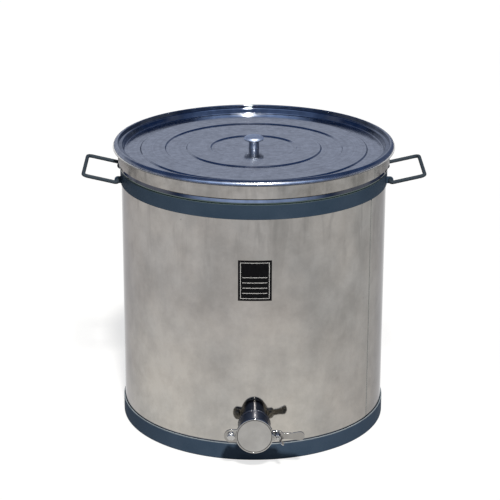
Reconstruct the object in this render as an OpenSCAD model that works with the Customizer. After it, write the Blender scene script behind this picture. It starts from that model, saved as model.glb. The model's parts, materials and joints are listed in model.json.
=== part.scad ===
// Honey settling tank: a polished steel tank with two painted bands, two carrying loops,
// a lift-off lid with a knob, and a honey gate near the floor.
// Frame: +Z up, origin on the floor on the tank's axis. The gate faces -Y and the carrying loops
// are on the -X and +X sides. All lengths are in millimetres.

/* [Tank] */
// Outside diameter of the tank wall
tank_d = 500; // [420:1:600]
// Height of the rolled rim above the floor
tank_h = 537.5; // [460:0.5:650]
// Thickness of the wall sheet
wall_t = 1; // [0.8:0.1:1.5]
// Diameter of the rolled rim
rim_roll_d = 4.4; // [3.6:0.1:5]
// How far the middle of the rolled rim stands outside the wall
rim_roll_out = 1.6; // [1.2:0.1:2]
// Drop from the rim to the middle of the bead that the upper band sits under
stop_bead_drop = 34.9; // [32:0.1:45]
// Height of that bead on the wall
stop_bead_h = 11.6; // [8:0.1:14]
// How far that bead stands out of the wall
stop_bead_out = 3.5; // [2:0.1:4]
// Thickness of the bottom sheet
bottom_t = 1; // [0.8:0.1:2]
// Height of the bottom's turned-down flange
bottom_flange_h = 14; // [8:1:20]
// How far the bottom lies below the gate's bore
bottom_drop = 9; // [4:0.5:14]
// Width of the wall's weld seam
seam_w = 3.5; // [2:0.5:6]
// How far a weld seam stands proud of its sheet
seam_out = 0.2; // [0.1:0.05:0.4]
// Place of the weld seams, in degrees round from +X
seam_angle = -31; // [-60:1:-25]

/* [Painted bands] */
// Height of the base band
base_band_h = 33; // [28:1:50]
// Thickness of the base band
base_band_t = 2.1; // [1.5:0.1:3]
// Crevice between the wall and the base band
base_band_gap = 0.6; // [0.2:0.1:1]
// Width of the base band's inward flange, which the tank stands on
base_flange_w = 16; // [8:1:30]
// Height of the upper band
upper_band_h = 28.3; // [24:0.1:36]
// Thickness of the upper band
upper_band_t = 2; // [1.5:0.1:2.5]
// Gap between a band's two ends at the back
band_split = 8; // [5:0.5:12]
// How far the clamp ears stand out of a band
ear_out = 20; // [16:1:26]
// Height of a clamp ear
ear_h = 22; // [16:1:24]
// Shank diameter of the clamp bolts
band_bolt_d = 6; // [5:1:8]

/* [Carrying loops] */
// Diameter of the loop's rod
rod_d = 7; // [6:0.5:7.5]
// Distance between the middles of a loop's two legs
grip_w = 130; // [110:1:160]
// Distance from the pivot to the middle of the grip bar
grip_reach = 65; // [55:1:80]
// How far the loops are tilted up as they stand
grip_tilt = 13; // [0:1:40]
// Bend radius of the grip's corners
grip_bend_r = 9; // [7:0.5:14]
// Length of the turned-in rod ends
tip_len = 32; // [28:1:36]
// Bend radius where the rod ends turn in
tip_bend_r = 6; // [5:0.5:8]
// Distance from the wall to the pivot
pivot_out = 4.6; // [4.4:0.1:6]
// Height of the pivot above the upper band's lower edge
pivot_rise = 11; // [9:0.5:14]
// Thickness of a lug
lug_t = 5; // [4:0.5:8]
// Wall of the lug round the pivot
lug_wall = 2.8; // [2:0.1:4]

/* [Lid] */
// Thickness of the lid's sheet
lid_t = 1; // [0.8:0.1:1.5]
// Diameter of the lid's rolled edge
lid_bead_d = 9; // [7:0.5:11]
// How far the rolled edge's middle stands outside the skirt
lid_bead_out = 5.1; // [4:0.1:7]
// Height of the skirt
skirt_h = 29.8; // [20:0.1:30]
// Depth of the disc below the lid's ledge
lid_dish = 10.8; // [8:0.1:16]
// How far the lid's inner wall draws in towards the disc
plug_taper = 3; // [1:0.5:6]
// Height of the pressed rings on the disc
rib_h = 2; // [1:0.1:3]
// Width of a pressed ring's sloping side
rib_side_w = 2; // [1:0.1:4]
// Diameter of the knob's head
knob_d = 38; // [30:1:46]
// Height of the knob
knob_h = 24; // [20:1:34]
// Diameter of the knob's foot
knob_foot_d = 21; // [18:0.5:26]
// Diameter of the knob's waist
knob_waist_d = 18; // [14:0.5:20]
// Shank diameter of the knob's screw
knob_screw_d = 6; // [5:1:8]
// How deep the screw reaches into the knob
knob_screw_depth = 12; // [8:0.5:16]

/* [Honey gate] */
// Outside diameter of the outlet tube
gate_tube_d = 56; // [48:1:58]
// Wall of the outlet tube
gate_tube_t = 2.2; // [1.5:0.1:3]
// Distance from the wall to the front of the flap
gate_reach = 51; // [44:1:70]
// Gap between the base band and the outlet tube
gate_clear = 10; // [1:0.5:20]
// Thickness of the fixed flange
flange_t = 4; // [3:0.5:6]
// Diameter of the fixed flange
flange_d = 66; // [62:1:74]
// Diameter of the flap
flap_d = 69; // [64:1:76]
// Thickness of the flap
flap_t = 4; // [3:0.5:6]
// Width of the flap's bevelled rim
flap_bevel_w = 2.6; // [1.5:0.1:4]
// Depth of the flap's bevelled rim
flap_bevel_h = 1.2; // [0.6:0.1:2]
// Distance from the gate's axis to the pivot bolt
gate_pivot_x = 42.9; // [41:0.1:50]
// Radius of the flap's lug round the pivot bolt
pivot_lug_r = 12.7; // [10:0.1:14]
// Shank diameter of the pivot bolt
pivot_bolt_d = 8; // [6:1:8]
// Distance from the gate's axis to the lock stud
lock_x = 41.8; // [41:0.1:50]
// Radius of the flap's ear round the lock stud
lock_ear_r = 10.5; // [9:0.1:13]
// Shank diameter of the lock stud
lock_stud_d = 6; // [5:1:6]
// Distance from the gate's axis to the end of the lever
lever_x = 91; // [84:1:120]
// Height of the lever's neck
lever_neck_h = 12; // [8:0.5:14]
// Height of the lever's flared end
lever_end_h = 20; // [14:0.5:26]
// Corner radius of the lever's end
lever_corner_r = 3.5; // [2:0.5:6]
// Distance across the wing nut's wings
wing_span = 33; // [28:1:40]
// Height of the wings
wing_h = 16; // [12:0.5:20]
// Thickness of a wing
wing_t = 2.4; // [1.6:0.1:3]
// Turn of the wings from level as they stand, in degrees
wing_turn = -48; // [-90:1:90]
// Width of the seal ring
seal_w = 3; // [2:0.5:4]
// Depth of the seal ring in the fixed flange
seal_depth = 1.6; // [1:0.1:2]

/* [Label] */
// Width of the label
label_w = 61; // [40:1:90]
// Height of the label
label_h = 77; // [40:1:110]
// Thickness of the label
label_t = 0.3; // [0.2:0.05:0.6]
// Gap from the upper band down to the label
label_drop = 77; // [30:1:140]

/* [Hidden] */
$fn = 96;

// Overrun of every cut past the faces that it opens
cut = 1;
// Clearance of a fixed fit
fit = 0.1;
// Radial clearance of a turning fit
running = 0.06;
// Clearance between faces that slide past each other
slide = 0.1;
// Clearance at rest between the lid and the rim that it sits on
lid_seat = 0.3;
// Clearance between the lid's skirt and the rolled rim
skirt_gap = 1;
// Clearance between the lid's inner wall and the tank wall
plug_gap = 1;

// Tank
tank_r = tank_d / 2;
tank_inside_r = tank_r - wall_t;
rim_roll_r = rim_roll_d / 2;
rim_r = tank_r + rim_roll_out;
rim_z = tank_h - rim_roll_r;
stop_bead_z = tank_h - stop_bead_drop;
// Tube radius of the bead, from its height on the wall and how far it stands out
stop_bead_tube_r = (pow(stop_bead_h / 2, 2) + pow(stop_bead_out, 2)) / (2 * stop_bead_out);
stop_bead_r = tank_r + stop_bead_out - stop_bead_tube_r;

// Painted bands
base_band_inside_r = tank_r + base_band_gap;
base_band_r = base_band_inside_r + base_band_t;
upper_band_top_z = stop_bead_z - stop_bead_h / 2 - fit;
upper_band_z = upper_band_top_z - upper_band_h;
upper_band_inside_r = tank_r + fit;
upper_band_r = upper_band_inside_r + upper_band_t;
// Each band as: lower edge, height, outside radius, thickness
BASE_BAND = [0, base_band_h, base_band_r, base_band_t];
UPPER_BAND = [upper_band_z, upper_band_h, upper_band_r, upper_band_t];
ear_hole_share = 0.55;

// Carrying loops
rod_r = rod_d / 2;
pivot_x = tank_r + pivot_out;
pivot_z = upper_band_z + pivot_rise;
leg_y = grip_w / 2;
tip_y = leg_y - tip_len;
// The lug holds the middle of the rod end's straight stretch
lug_y = (leg_y - tip_bend_r + tip_y) / 2;
lug_r = rod_r + lug_wall;
// Length of the lug from the pivot back to the band
lug_root = pivot_x - sqrt(pow(upper_band_r, 2) - pow(lug_y + lug_t / 2, 2)) + cut;

// Lid
skirt_inside_r = rim_r + rim_roll_r + skirt_gap;
skirt_r = skirt_inside_r + lid_t;
ledge_z = tank_h + lid_seat;
ledge_top_z = ledge_z + lid_t;
lid_bead_r = lid_bead_d / 2;
lid_edge_r = skirt_r + lid_bead_out;
skirt_z = ledge_z - skirt_h;
disc_z = ledge_top_z - lid_dish;
plug_top_r = tank_inside_r - plug_gap;
disc_r = plug_top_r - plug_taper - lid_t;
rib_edge_shares = [[0.335, 0.514], [0.686, 0.869]];
knob_screw_r = knob_screw_d / 2;
knob_washer_t = 1.2;
knob_washer_share = 3;
knob_screw_head_share = 0.6;
knob_washer_r = knob_screw_r * knob_washer_share;
knob_screw_head_h = knob_screw_d * knob_screw_head_share;
knob_screw_head_r = knob_screw_d;
knob_rim_share = 0.79;
knob_neck_share = 0.56;
knob_waist_share = 0.3;
arc_steps = 12;

// Honey gate, with distances out from the tank's axis towards the front
gate_tube_r = gate_tube_d / 2;
gate_bore_r = gate_tube_r - gate_tube_t;
gate_z = base_band_h + gate_clear + gate_tube_r;
flap_front = tank_r + gate_reach;
flap_back = flap_front - flap_t;
// The lug, ear and lever stand back from the flap's face by the depth of its bevel
arm_front = flap_front - flap_bevel_h;
flange_front = flap_back - slide;
flange_back = flange_front - flange_t;
tube_inside_share = 0.984;
tube_back = tank_inside_r * tube_inside_share;
weld_w = gate_tube_t;
weld_h = 1.6;
seal_inside_r = gate_bore_r + gate_tube_t;
flange_ear_share = 0.86;
pivot_bolt_r = pivot_bolt_d / 2;
lock_stud_r = lock_stud_d / 2;
lock_arm_r = gate_pivot_x + lock_x;
// The slot lets the ear swing up off the stud
slot_w = lock_stud_d + 2 * slide + 2 * fit;
lever_neck_share = 0.72;
gate_washer_t = 1.2;
gate_washer_share = 2;
gate_washer_front = arm_front + slide + gate_washer_t;
wing_hub_height_share = 1.33;
wing_hub_foot_share = 1.08;
wing_hub_top_share = 0.92;
wing_root_share = 0.7;
wing_hub_h = lock_stud_d * wing_hub_height_share;
wing_hub_r = lock_stud_d * wing_hub_foot_share;
wing_hub_top_r = lock_stud_d * wing_hub_top_share;
bottom_z = gate_z - gate_bore_r - bottom_drop;

// Hexagon heads and nuts follow their shank: across corners, height of a head and height of a nut
hex_corner_share = 1.88;
hex_head_share = 0.66;
hex_nut_share = 0.8;
thread_end_share = 0.3;

// Label
label_top_z = upper_band_z - label_drop;

BRIGHT = [0.74, 0.73, 0.70];
SATIN = [0.60, 0.62, 0.66];
PAINT = [0.23, 0.29, 0.35];
BLACK = [0.06, 0.06, 0.07];
SEAL = [0.85, 0.84, 0.80];

// Ring with a plain section
module ring(inside_r, outside_r, z, h) {
    translate([0, 0, z])
        difference() {
            cylinder(r = outside_r, h = h);
            translate([0, 0, -cut])
                cylinder(r = inside_r, h = h + 2 * cut);
        }
}

// Ring with a round section
module round_ring(middle_r, tube_r, z) {
    translate([0, 0, z])
        rotate_extrude()
            translate([middle_r, 0])
                circle(r = tube_r, $fn = 48);
}

// Strip that lies on a cylinder, centred on an angle
module curved_strip(inside_r, t, z, h, width, middle) {
    angle = width / inside_r * 180 / PI;
    translate([0, 0, z])
        rotate([0, 0, middle - angle / 2])
            rotate_extrude(angle = angle)
                translate([inside_r, 0])
                    square([t, h]);
}

// Round bar along the gate's direction, at x and z from the gate's axis
module gate_bar(r, from, to, x = 0, z = 0) {
    translate([x, -from, gate_z + z])
        rotate([90, 0, 0])
            cylinder(r = r, h = to - from);
}

// Hexagon along the gate's direction, at x from the gate's axis
module gate_hexagon(corner_r, from, to, x) {
    translate([x, -from, gate_z])
        rotate([90, 0, 0])
            cylinder(r = corner_r, h = to - from, $fn = 6);
}

// Flat plate square to the gate's direction, from a drawn outline
module gate_plate(from, to) {
    translate([0, -from, gate_z])
        rotate([90, 0, 0])
            linear_extrude(height = to - from)
                children();
}

// Tank

module tank_wall() {
    color(BRIGHT)
        difference() {
            union() {
                translate([0, 0, base_band_t])
                    cylinder(r = tank_r, h = rim_z - base_band_t);
                round_ring(stop_bead_r, stop_bead_tube_r, stop_bead_z);
                round_ring(rim_r, rim_roll_r, rim_z);
            }
            translate([0, 0, base_band_t - cut])
                cylinder(r = tank_inside_r, h = tank_h + 2 * cut);
            round_ring(stop_bead_r, stop_bead_tube_r - wall_t, stop_bead_z);
            gate_bar(gate_tube_r + fit, 0, tank_r + cut);
        }
}

module wall_seam() {
    color(BRIGHT)
        curved_strip(tank_r, seam_out, base_band_h + fit, upper_band_z - base_band_h - 2 * fit, seam_w,
            seam_angle);
}

module tank_bottom() {
    outside_r = tank_inside_r - fit;
    color(SATIN) {
        translate([0, 0, bottom_z - bottom_t])
            cylinder(r = outside_r, h = bottom_t);
        ring(outside_r - bottom_t, outside_r, bottom_z - bottom_flange_h, bottom_flange_h);
    }
}

// Painted bands

// Ends of a band turned out at the back, each with a hole for the clamp bolt
module clamp_ears(band) {
    for (side = [-1, 1])
        translate([side * (band_split + band[3]) / 2, band[2] - band[3] / 2, band[0] + band[1] / 2])
            translate([-band[3] / 2, 0, -ear_h / 2])
                cube([band[3], ear_out + band[3] / 2, ear_h]);
}

// Direction of a clamp bolt, set at its middle between the ears
module at_clamp(band) {
    translate([0, band[2] + ear_out * ear_hole_share, band[0] + band[1] / 2])
        rotate([0, 90, 0])
            children();
}

// Cuts the gap between the ends and the bolt's holes
module clamp_cuts(band) {
    translate([-band_split / 2, 0, band[0] - cut])
        cube([band_split, band[2] + ear_out + cut, band[1] + 2 * cut]);
    at_clamp(band)
        cylinder(d = band_bolt_d + 2 * fit, h = band_split + 2 * band[3] + 2 * cut, center = true);
}

module base_band() {
    color(PAINT)
        difference() {
            union() {
                ring(base_band_inside_r, base_band_r, 0, base_band_h);
                ring(tank_r - base_flange_w, base_band_r - base_band_t / 2, 0, base_band_t);
                clamp_ears(BASE_BAND);
            }
            clamp_cuts(BASE_BAND);
        }
}

module upper_band() {
    color(PAINT)
        difference() {
            union() {
                ring(upper_band_inside_r, upper_band_r, upper_band_z, upper_band_h);
                clamp_ears(UPPER_BAND);
            }
            clamp_cuts(UPPER_BAND);
        }
}

module band_bolts() {
    color(SATIN)
        for (band = [BASE_BAND, UPPER_BAND]) {
            half = band_split / 2 + band[3];
            nut_h = band_bolt_d * hex_nut_share;
            end = half + nut_h + band_bolt_d * thread_end_share;
            at_clamp(band) {
                translate([0, 0, -half])
                    cylinder(d = band_bolt_d, h = half + end);
                translate([0, 0, -half - band_bolt_d * hex_head_share])
                    cylinder(d = band_bolt_d * hex_corner_share, h = band_bolt_d * hex_head_share, $fn = 6);
            }
        }
}

module band_nuts() {
    color(SATIN)
        for (band = [BASE_BAND, UPPER_BAND]) {
            nut_h = band_bolt_d * hex_nut_share;
            at_clamp(band)
                translate([0, 0, band_split / 2 + band[3]])
                    difference() {
                        cylinder(d = band_bolt_d * hex_corner_share, h = nut_h, $fn = 6);
                        translate([0, 0, -cut])
                            cylinder(d = band_bolt_d + 2 * fit, h = nut_h + 2 * cut);
                    }
        }
}

// Carrying loops

// Two lugs on the upper band that hold the ends of one loop
module handle_lugs(side) {
    color(PAINT)
        for (end = [-1, 1])
            difference() {
                translate([side * pivot_x, end * lug_y, pivot_z])
                    rotate([90, 0, 0])
                        linear_extrude(height = lug_t, center = true) {
                            circle(r = lug_r);
                            translate([side > 0 ? -lug_root : 0, -lug_r])
                                square([lug_root, 2 * lug_r]);
                        }
                translate([0, 0, upper_band_z - cut])
                    cylinder(r = upper_band_r, h = upper_band_h + 2 * cut, $fn = 180);
                translate([side * pivot_x, end * lug_y, pivot_z])
                    rotate([90, 0, 0])
                        cylinder(r = rod_r + running, h = lug_t + 2 * cut, center = true);
            }
}

module handle_lugs_left() {
    handle_lugs(-1);
}

module handle_lugs_right() {
    handle_lugs(1);
}

// Quarter bend of the rod round the Z axis, from +X to +Y
module rod_bend(bend_r) {
    rotate_extrude(angle = 90)
        translate([bend_r, 0])
            circle(r = rod_r, $fn = 48);
}

// One half of a loop with its pivot along Y at the origin and its legs along +X
module half_loop() {
    leg_start = tip_bend_r;
    leg_end = grip_reach - grip_bend_r;
    translate([0, tip_y + rod_r, 0])
        sphere(r = rod_r);
    translate([0, tip_y + rod_r, 0])
        rotate([-90, 0, 0])
            cylinder(r = rod_r, h = tip_len - rod_r - tip_bend_r);
    translate([tip_bend_r, leg_y - tip_bend_r, 0])
        rotate([0, 0, 90])
            rod_bend(tip_bend_r);
    translate([leg_start, leg_y, 0])
        rotate([0, 90, 0])
            cylinder(r = rod_r, h = leg_end - leg_start);
    translate([leg_end, leg_y - grip_bend_r, 0])
        rod_bend(grip_bend_r);
    translate([grip_reach, 0, 0])
        rotate([-90, 0, 0])
            cylinder(r = rod_r, h = leg_y - grip_bend_r);
}

module handle_right() {
    color(PAINT)
        translate([pivot_x, 0, pivot_z])
            rotate([0, -grip_tilt, 0]) {
                half_loop();
                mirror([0, 1, 0])
                    half_loop();
            }
}

module handle_left() {
    mirror([1, 0, 0])
        handle_right();
}

// Honey gate

module gate_tube() {
    color(BRIGHT)
        difference() {
            gate_bar(gate_tube_r, tube_back, flange_back);
            gate_bar(gate_bore_r, tube_back - cut, flange_back + cut);
        }
}

module gate_weld() {
    color(SATIN)
        difference() {
            intersection() {
                gate_bar(gate_tube_r + weld_w, 0, flange_back);
                translate([0, 0, base_band_h])
                    cylinder(r = tank_r + weld_h, h = tank_r);
            }
            translate([0, 0, base_band_h - cut])
                cylinder(r = tank_r, h = tank_r + 2 * cut);
            gate_bar(gate_tube_r, 0, flap_front);
        }
}

module gate_flange() {
    pivot_ear_r = pivot_lug_r * flange_ear_share;
    stud_ear_r = lock_ear_r * flange_ear_share;
    color(BRIGHT)
        difference() {
            gate_plate(flange_back, flange_front)
                difference() {
                    union() {
                        circle(d = flange_d);
                        translate([-gate_pivot_x, 0])
                            circle(r = pivot_ear_r);
                        translate([-gate_pivot_x, -pivot_ear_r])
                            square([gate_pivot_x, 2 * pivot_ear_r]);
                        translate([lock_x, 0])
                            circle(r = stud_ear_r);
                        translate([0, -stud_ear_r])
                            square([lock_x, 2 * stud_ear_r]);
                    }
                    circle(r = gate_bore_r);
                    translate([-gate_pivot_x, 0])
                        circle(r = pivot_bolt_r + fit);
                    translate([lock_x, 0])
                        circle(r = lock_stud_r + fit);
                }
            gate_plate(flange_front - seal_depth, flange_front + cut)
                difference() {
                    circle(r = seal_inside_r + seal_w);
                    circle(r = seal_inside_r);
                }
        }
}

module gate_seal() {
    color(SEAL)
        gate_plate(flange_front - seal_depth, flange_front)
            difference() {
                circle(r = seal_inside_r + seal_w - fit);
                circle(r = seal_inside_r + fit);
            }
}

// Outline of the flap's lug, ear and lever, without its disc
module flap_arms() {
    neck = lever_neck_h / 2;
    end = lever_end_h / 2;
    corner_x = lever_x - lever_corner_r;
    corner_z = end - lever_corner_r;
    translate([-gate_pivot_x, 0])
        circle(r = pivot_lug_r);
    translate([-gate_pivot_x, -pivot_lug_r])
        square([gate_pivot_x, 2 * pivot_lug_r]);
    translate([lock_x, 0])
        circle(r = lock_ear_r);
    translate([0, -lock_ear_r])
        square([lock_x, 2 * lock_ear_r]);
    translate([lock_x, -neck])
        square([lever_x * lever_neck_share - lock_x, 2 * neck]);
    polygon([
        [lever_x * lever_neck_share, -neck], [corner_x, -end], [corner_x, -corner_z],
        [lever_x, -corner_z], [lever_x, corner_z], [corner_x, corner_z],
        [corner_x, end], [lever_x * lever_neck_share, neck]
    ]);
    for (side = [-1, 1])
        translate([corner_x, side * corner_z])
            circle(r = lever_corner_r);
}

// Path that the lock stud takes out of the ear's lower side as the flap swings up about its pivot
module stud_path() {
    intersection() {
        translate([-gate_pivot_x, 0])
            difference() {
                circle(r = lock_arm_r + slot_w / 2);
                circle(r = lock_arm_r - slot_w / 2);
            }
        translate([0, -lever_x])
            square([2 * lever_x, lever_x]);
    }
}

module gate_flap() {
    flap_r = flap_d / 2;
    color(BRIGHT)
        difference() {
            union() {
                gate_bar(flap_r, flap_back, arm_front);
                translate([0, -arm_front, gate_z])
                    rotate([90, 0, 0])
                        cylinder(r1 = flap_r, r2 = flap_r - flap_bevel_w, h = flap_bevel_h);
                gate_plate(flap_back, arm_front)
                    flap_arms();
            }
            gate_bar(slot_w / 2, flap_back - cut, flap_front + cut, lock_x);
            gate_plate(flap_back - cut, flap_front + cut)
                stud_path();
            gate_bar(pivot_bolt_r + running, flap_back - cut, flap_front + cut, -gate_pivot_x);
        }
}

module pivot_bolt() {
    head_back = gate_washer_front;
    head_front = head_back + pivot_bolt_d * hex_head_share;
    nut_back = flange_back - pivot_bolt_d * hex_nut_share;
    color(BRIGHT) {
        gate_bar(pivot_bolt_r, nut_back - pivot_bolt_d * thread_end_share, head_back, -gate_pivot_x);
        intersection() {
            gate_hexagon(pivot_bolt_r * hex_corner_share, head_back, head_front, -gate_pivot_x);
            translate([-gate_pivot_x, -head_front + pivot_bolt_d, gate_z])
                sphere(r = pivot_bolt_d);
        }
    }
}

// Flat washer on a bolt of the gate
module gate_washer(shank_r, front, x) {
    color(SATIN)
        difference() {
            gate_bar(shank_r * gate_washer_share, front - gate_washer_t, front, x);
            gate_bar(shank_r + running, front - gate_washer_t - cut, front + cut, x);
        }
}

module pivot_washer() {
    gate_washer(pivot_bolt_r, gate_washer_front, -gate_pivot_x);
}

module pivot_nut() {
    nut_back = flange_back - pivot_bolt_d * hex_nut_share;
    color(SATIN)
        difference() {
            gate_hexagon(pivot_bolt_r * hex_corner_share, nut_back, flange_back, -gate_pivot_x);
            gate_bar(pivot_bolt_r + fit, nut_back - cut, flange_back + cut, -gate_pivot_x);
        }
}

module lock_stud() {
    head_back = flange_back - lock_stud_d * hex_head_share;
    stud_front = gate_washer_front + wing_hub_h + lock_stud_d * thread_end_share;
    color(SATIN) {
        gate_bar(lock_stud_r, flange_back, stud_front, lock_x);
        gate_hexagon(lock_stud_r * hex_corner_share, head_back, flange_back, lock_x);
    }
}

module lock_washer() {
    gate_washer(lock_stud_r, gate_washer_front, lock_x);
}

// Outline of one wing, with the nut's axis along Y and the wing out along X
module wing_outline() {
    ear_r = (wing_span / 2 - wing_hub_top_r) / 2;
    ear_x = wing_span / 2 - ear_r;
    ear_y = wing_h - ear_r;
    root = wing_hub_h * wing_root_share;
    translate([ear_x, ear_y])
        circle(r = ear_r);
    polygon([
        [lock_stud_r + fit, 0], [wing_hub_r, 0], [ear_x + ear_r, ear_y], [ear_x - ear_r, ear_y],
        [wing_hub_top_r, root], [lock_stud_r + fit, root]
    ]);
}

module wing_nut() {
    color(BRIGHT)
        translate([lock_x, -gate_washer_front, gate_z])
            rotate([90, 0, 0])
                rotate([0, 0, wing_turn])
                    difference() {
                        union() {
                            cylinder(r1 = wing_hub_r, r2 = wing_hub_top_r, h = wing_hub_h);
                            for (side = [0, 180])
                                rotate([90, 0, side])
                                    linear_extrude(height = wing_t, center = true)
                                        wing_outline();
                        }
                        translate([0, 0, -cut])
                            cylinder(r = lock_stud_r + running, h = wing_hub_h + 2 * cut);
                    }
}

module label_plate() {
    color(BLACK)
        curved_strip(tank_r + fit, label_t, label_top_z - label_h, label_h, label_w, -90);
}

// Lid

// Section of the pressed disc's top from one ring's inner side to its outer side
function rib_points(edges) = [
    [edges[0] * disc_r - rib_side_w, disc_z], [edges[0] * disc_r, disc_z + rib_h],
    [edges[1] * disc_r, disc_z + rib_h], [edges[1] * disc_r + rib_side_w, disc_z]
];
function lowered(points) = [for (i = [len(points) - 1 : -1 : 0]) [points[i][0], points[i][1] - lid_t]];

module lid_pan() {
    hole_r = knob_screw_r + fit;
    disc_top = concat([[hole_r, disc_z]], rib_points(rib_edge_shares[0]), rib_points(rib_edge_shares[1]));
    edge = [
        [disc_r, disc_z], [plug_top_r - lid_t, ledge_top_z], [lid_edge_r, ledge_top_z],
        [lid_edge_r, ledge_z], [plug_top_r, ledge_z], [disc_r + lid_t, disc_z - lid_t]
    ];
    color(SATIN) {
        rotate_extrude($fn = 180)
            polygon(concat(disc_top, edge, lowered(disc_top)));
        round_ring(lid_edge_r, lid_bead_r, ledge_z);
    }
}

module lid_skirt() {
    color(BRIGHT)
        ring(skirt_inside_r, skirt_r, skirt_z, skirt_h);
}

module lid_seam() {
    color(BRIGHT)
        curved_strip(skirt_r, seam_out, skirt_z, skirt_h - lid_bead_r, seam_w, seam_angle);
}

// Section of the knob's crown: a flat arch from the rim of the head to the top
function crown_points() = [
    for (i = [0 : arc_steps])
        let (a = 90 * i / arc_steps)
            [knob_d / 2 * cos(a), knob_h * (knob_rim_share + (1 - knob_rim_share) * sin(a))]
];
// Section of the knob's hollow neck, from the waist out to the head's rim
function neck_points() = [
    for (i = [0 : arc_steps])
        let (a = 90 * i / arc_steps)
            [
                knob_waist_d / 2 + (knob_d - knob_waist_d) / 2 * (1 - cos(a)),
                knob_h * (knob_neck_share + (knob_rim_share - knob_neck_share) * sin(a))
            ]
];

module lid_knob() {
    bore_r = knob_screw_r + fit;
    bore_h = knob_screw_depth + fit;
    waist_z = knob_h * knob_waist_share;
    color(BRIGHT)
        translate([0, 0, disc_z])
            rotate_extrude()
                polygon(concat(
                    [[bore_r, 0], [knob_foot_d / 2, 0], [knob_waist_d / 2, waist_z]],
                    neck_points(), crown_points(), [[0, bore_h], [bore_r, bore_h]]
                ));
}

module knob_washer() {
    color(SATIN)
        ring(knob_screw_r + fit, knob_washer_r, disc_z - lid_t - knob_washer_t, knob_washer_t);
}

module knob_screw() {
    head_top = disc_z - lid_t - knob_washer_t;
    color(SATIN) {
        translate([0, 0, head_top])
            cylinder(r = knob_screw_r, h = disc_z + knob_screw_depth - head_top);
        translate([0, 0, head_top - knob_screw_head_h])
            cylinder(r = knob_screw_head_r, h = knob_screw_head_h);
    }
}

tank_wall();
wall_seam();
tank_bottom();
base_band();
upper_band();
band_bolts();
band_nuts();
handle_lugs_left();
handle_lugs_right();
handle_left();
handle_right();
gate_tube();
gate_weld();
gate_flange();
gate_seal();
gate_flap();
pivot_bolt();
pivot_washer();
pivot_nut();
lock_stud();
lock_washer();
wing_nut();
label_plate();
lid_pan();
lid_skirt();
lid_seam();
lid_knob();
knob_washer();
knob_screw();
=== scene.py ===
import json
import math

import bpy
from mathutils import Matrix, Vector, geometry


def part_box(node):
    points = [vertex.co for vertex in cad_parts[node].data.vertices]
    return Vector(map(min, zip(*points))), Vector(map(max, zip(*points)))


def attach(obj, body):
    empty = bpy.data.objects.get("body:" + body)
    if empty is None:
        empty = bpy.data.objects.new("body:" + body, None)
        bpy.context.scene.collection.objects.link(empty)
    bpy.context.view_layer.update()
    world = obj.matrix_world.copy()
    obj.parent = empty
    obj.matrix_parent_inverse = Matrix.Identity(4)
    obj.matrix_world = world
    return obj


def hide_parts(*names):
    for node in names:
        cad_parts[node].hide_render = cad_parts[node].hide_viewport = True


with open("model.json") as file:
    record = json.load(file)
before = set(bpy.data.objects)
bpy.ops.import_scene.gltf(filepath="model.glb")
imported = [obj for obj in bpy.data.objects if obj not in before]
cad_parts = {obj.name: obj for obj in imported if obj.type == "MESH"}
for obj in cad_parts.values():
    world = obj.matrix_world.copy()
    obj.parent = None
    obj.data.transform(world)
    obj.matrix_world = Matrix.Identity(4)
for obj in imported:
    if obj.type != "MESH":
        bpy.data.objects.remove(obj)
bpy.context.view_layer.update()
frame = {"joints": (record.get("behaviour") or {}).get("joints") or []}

# Tank wall: one sheet of polished stainless steel, a millimetre thick, rolled and welded up.
# A bead is swaged into it near the top to hold the upper band, the upper edge is rolled outwards,
# and a hole at the front takes the outlet tube of the honey gate. Its inside is left satin.
TURN = 2 * math.pi
FRONT = -TURN / 4
TINY = 1e-7
STRAIGHT = 1e-4
tank_r = 0.250
sheet = 0.001
fit = 0.0001
cut_r = 0.0003
wall_low, wall_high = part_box("tank_wall")
wall_top = wall_high.z
wall_steps = 240
rim_d = 0.0044
rim_r = rim_d * 0.48
rim_low = wall_top - rim_d
bead_drop = 0.0349
bead_half = 0.0058
bead_out = 0.0035
bead_lean = 0.0040
bead_z = wall_top - bead_drop
bead_low = bead_z - 0.0044
bead_high = bead_z - 0.0024
bead_foot, bead_head = bead_z - bead_half, bead_z + bead_half
bead_root_r = 0.0010
bead_low_r = 0.0012
bead_high_r = 0.0022
bead_back_r = 0.0008
bead_neck_r = 0.0004
bead_inner_r = 0.0006
tube_low, tube_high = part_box("gate_tube")
tube_r = tube_high.x
gate_z = (tube_low.z + tube_high.z) / 2
window_half = 0.042
window_low, window_high = gate_z - window_half, gate_z + window_half
window_rows = 12
window_columns = 7
hole_rings = 4
wall_dark, wall_light = (0.268, 0.261, 0.255), (0.362, 0.353, 0.344)
wall_rough = (0.05, 0.10)
edge_tint = (0.62, 0.62, 0.64, 1)
warm_shares = (1.10, 1.03, 0.96)
olive_shares = (0.905, 0.915, 0.905)
lighter_shares = (1.37, 1.365, 1.31)
drip_and_streak_shares = (0.50, 0.50, 0.50)
speck_shares = (0.45, 0.45, 0.45)
olive_from, olive_to = -0.03, 0.22
# Where the sheet's colour is made lighter: low down, on the left.
lighter_x_from, lighter_x_to = 0.07, 0.17
lighter_z_low, lighter_z_high = 0.05, 0.30
band_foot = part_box("upper_band")[0].z
drip_length = 0.16
# Painted shade along the bead's foot: the shaded gap just over the upper band.
bead_shade_tone = (0.055, 0.090, 0.088)
bead_shade_start = 0.0002
bead_shade_h = bead_low - bead_foot + 0.0010
bead_shade_fade = 0.0016
base_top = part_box("base_band")[1].z
# Painted shade in the crevice between the wall and the top of the base band.
crevice_shade_h = 0.0014
crevice_shade_tone = (0.060, 0.075, 0.105)


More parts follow.
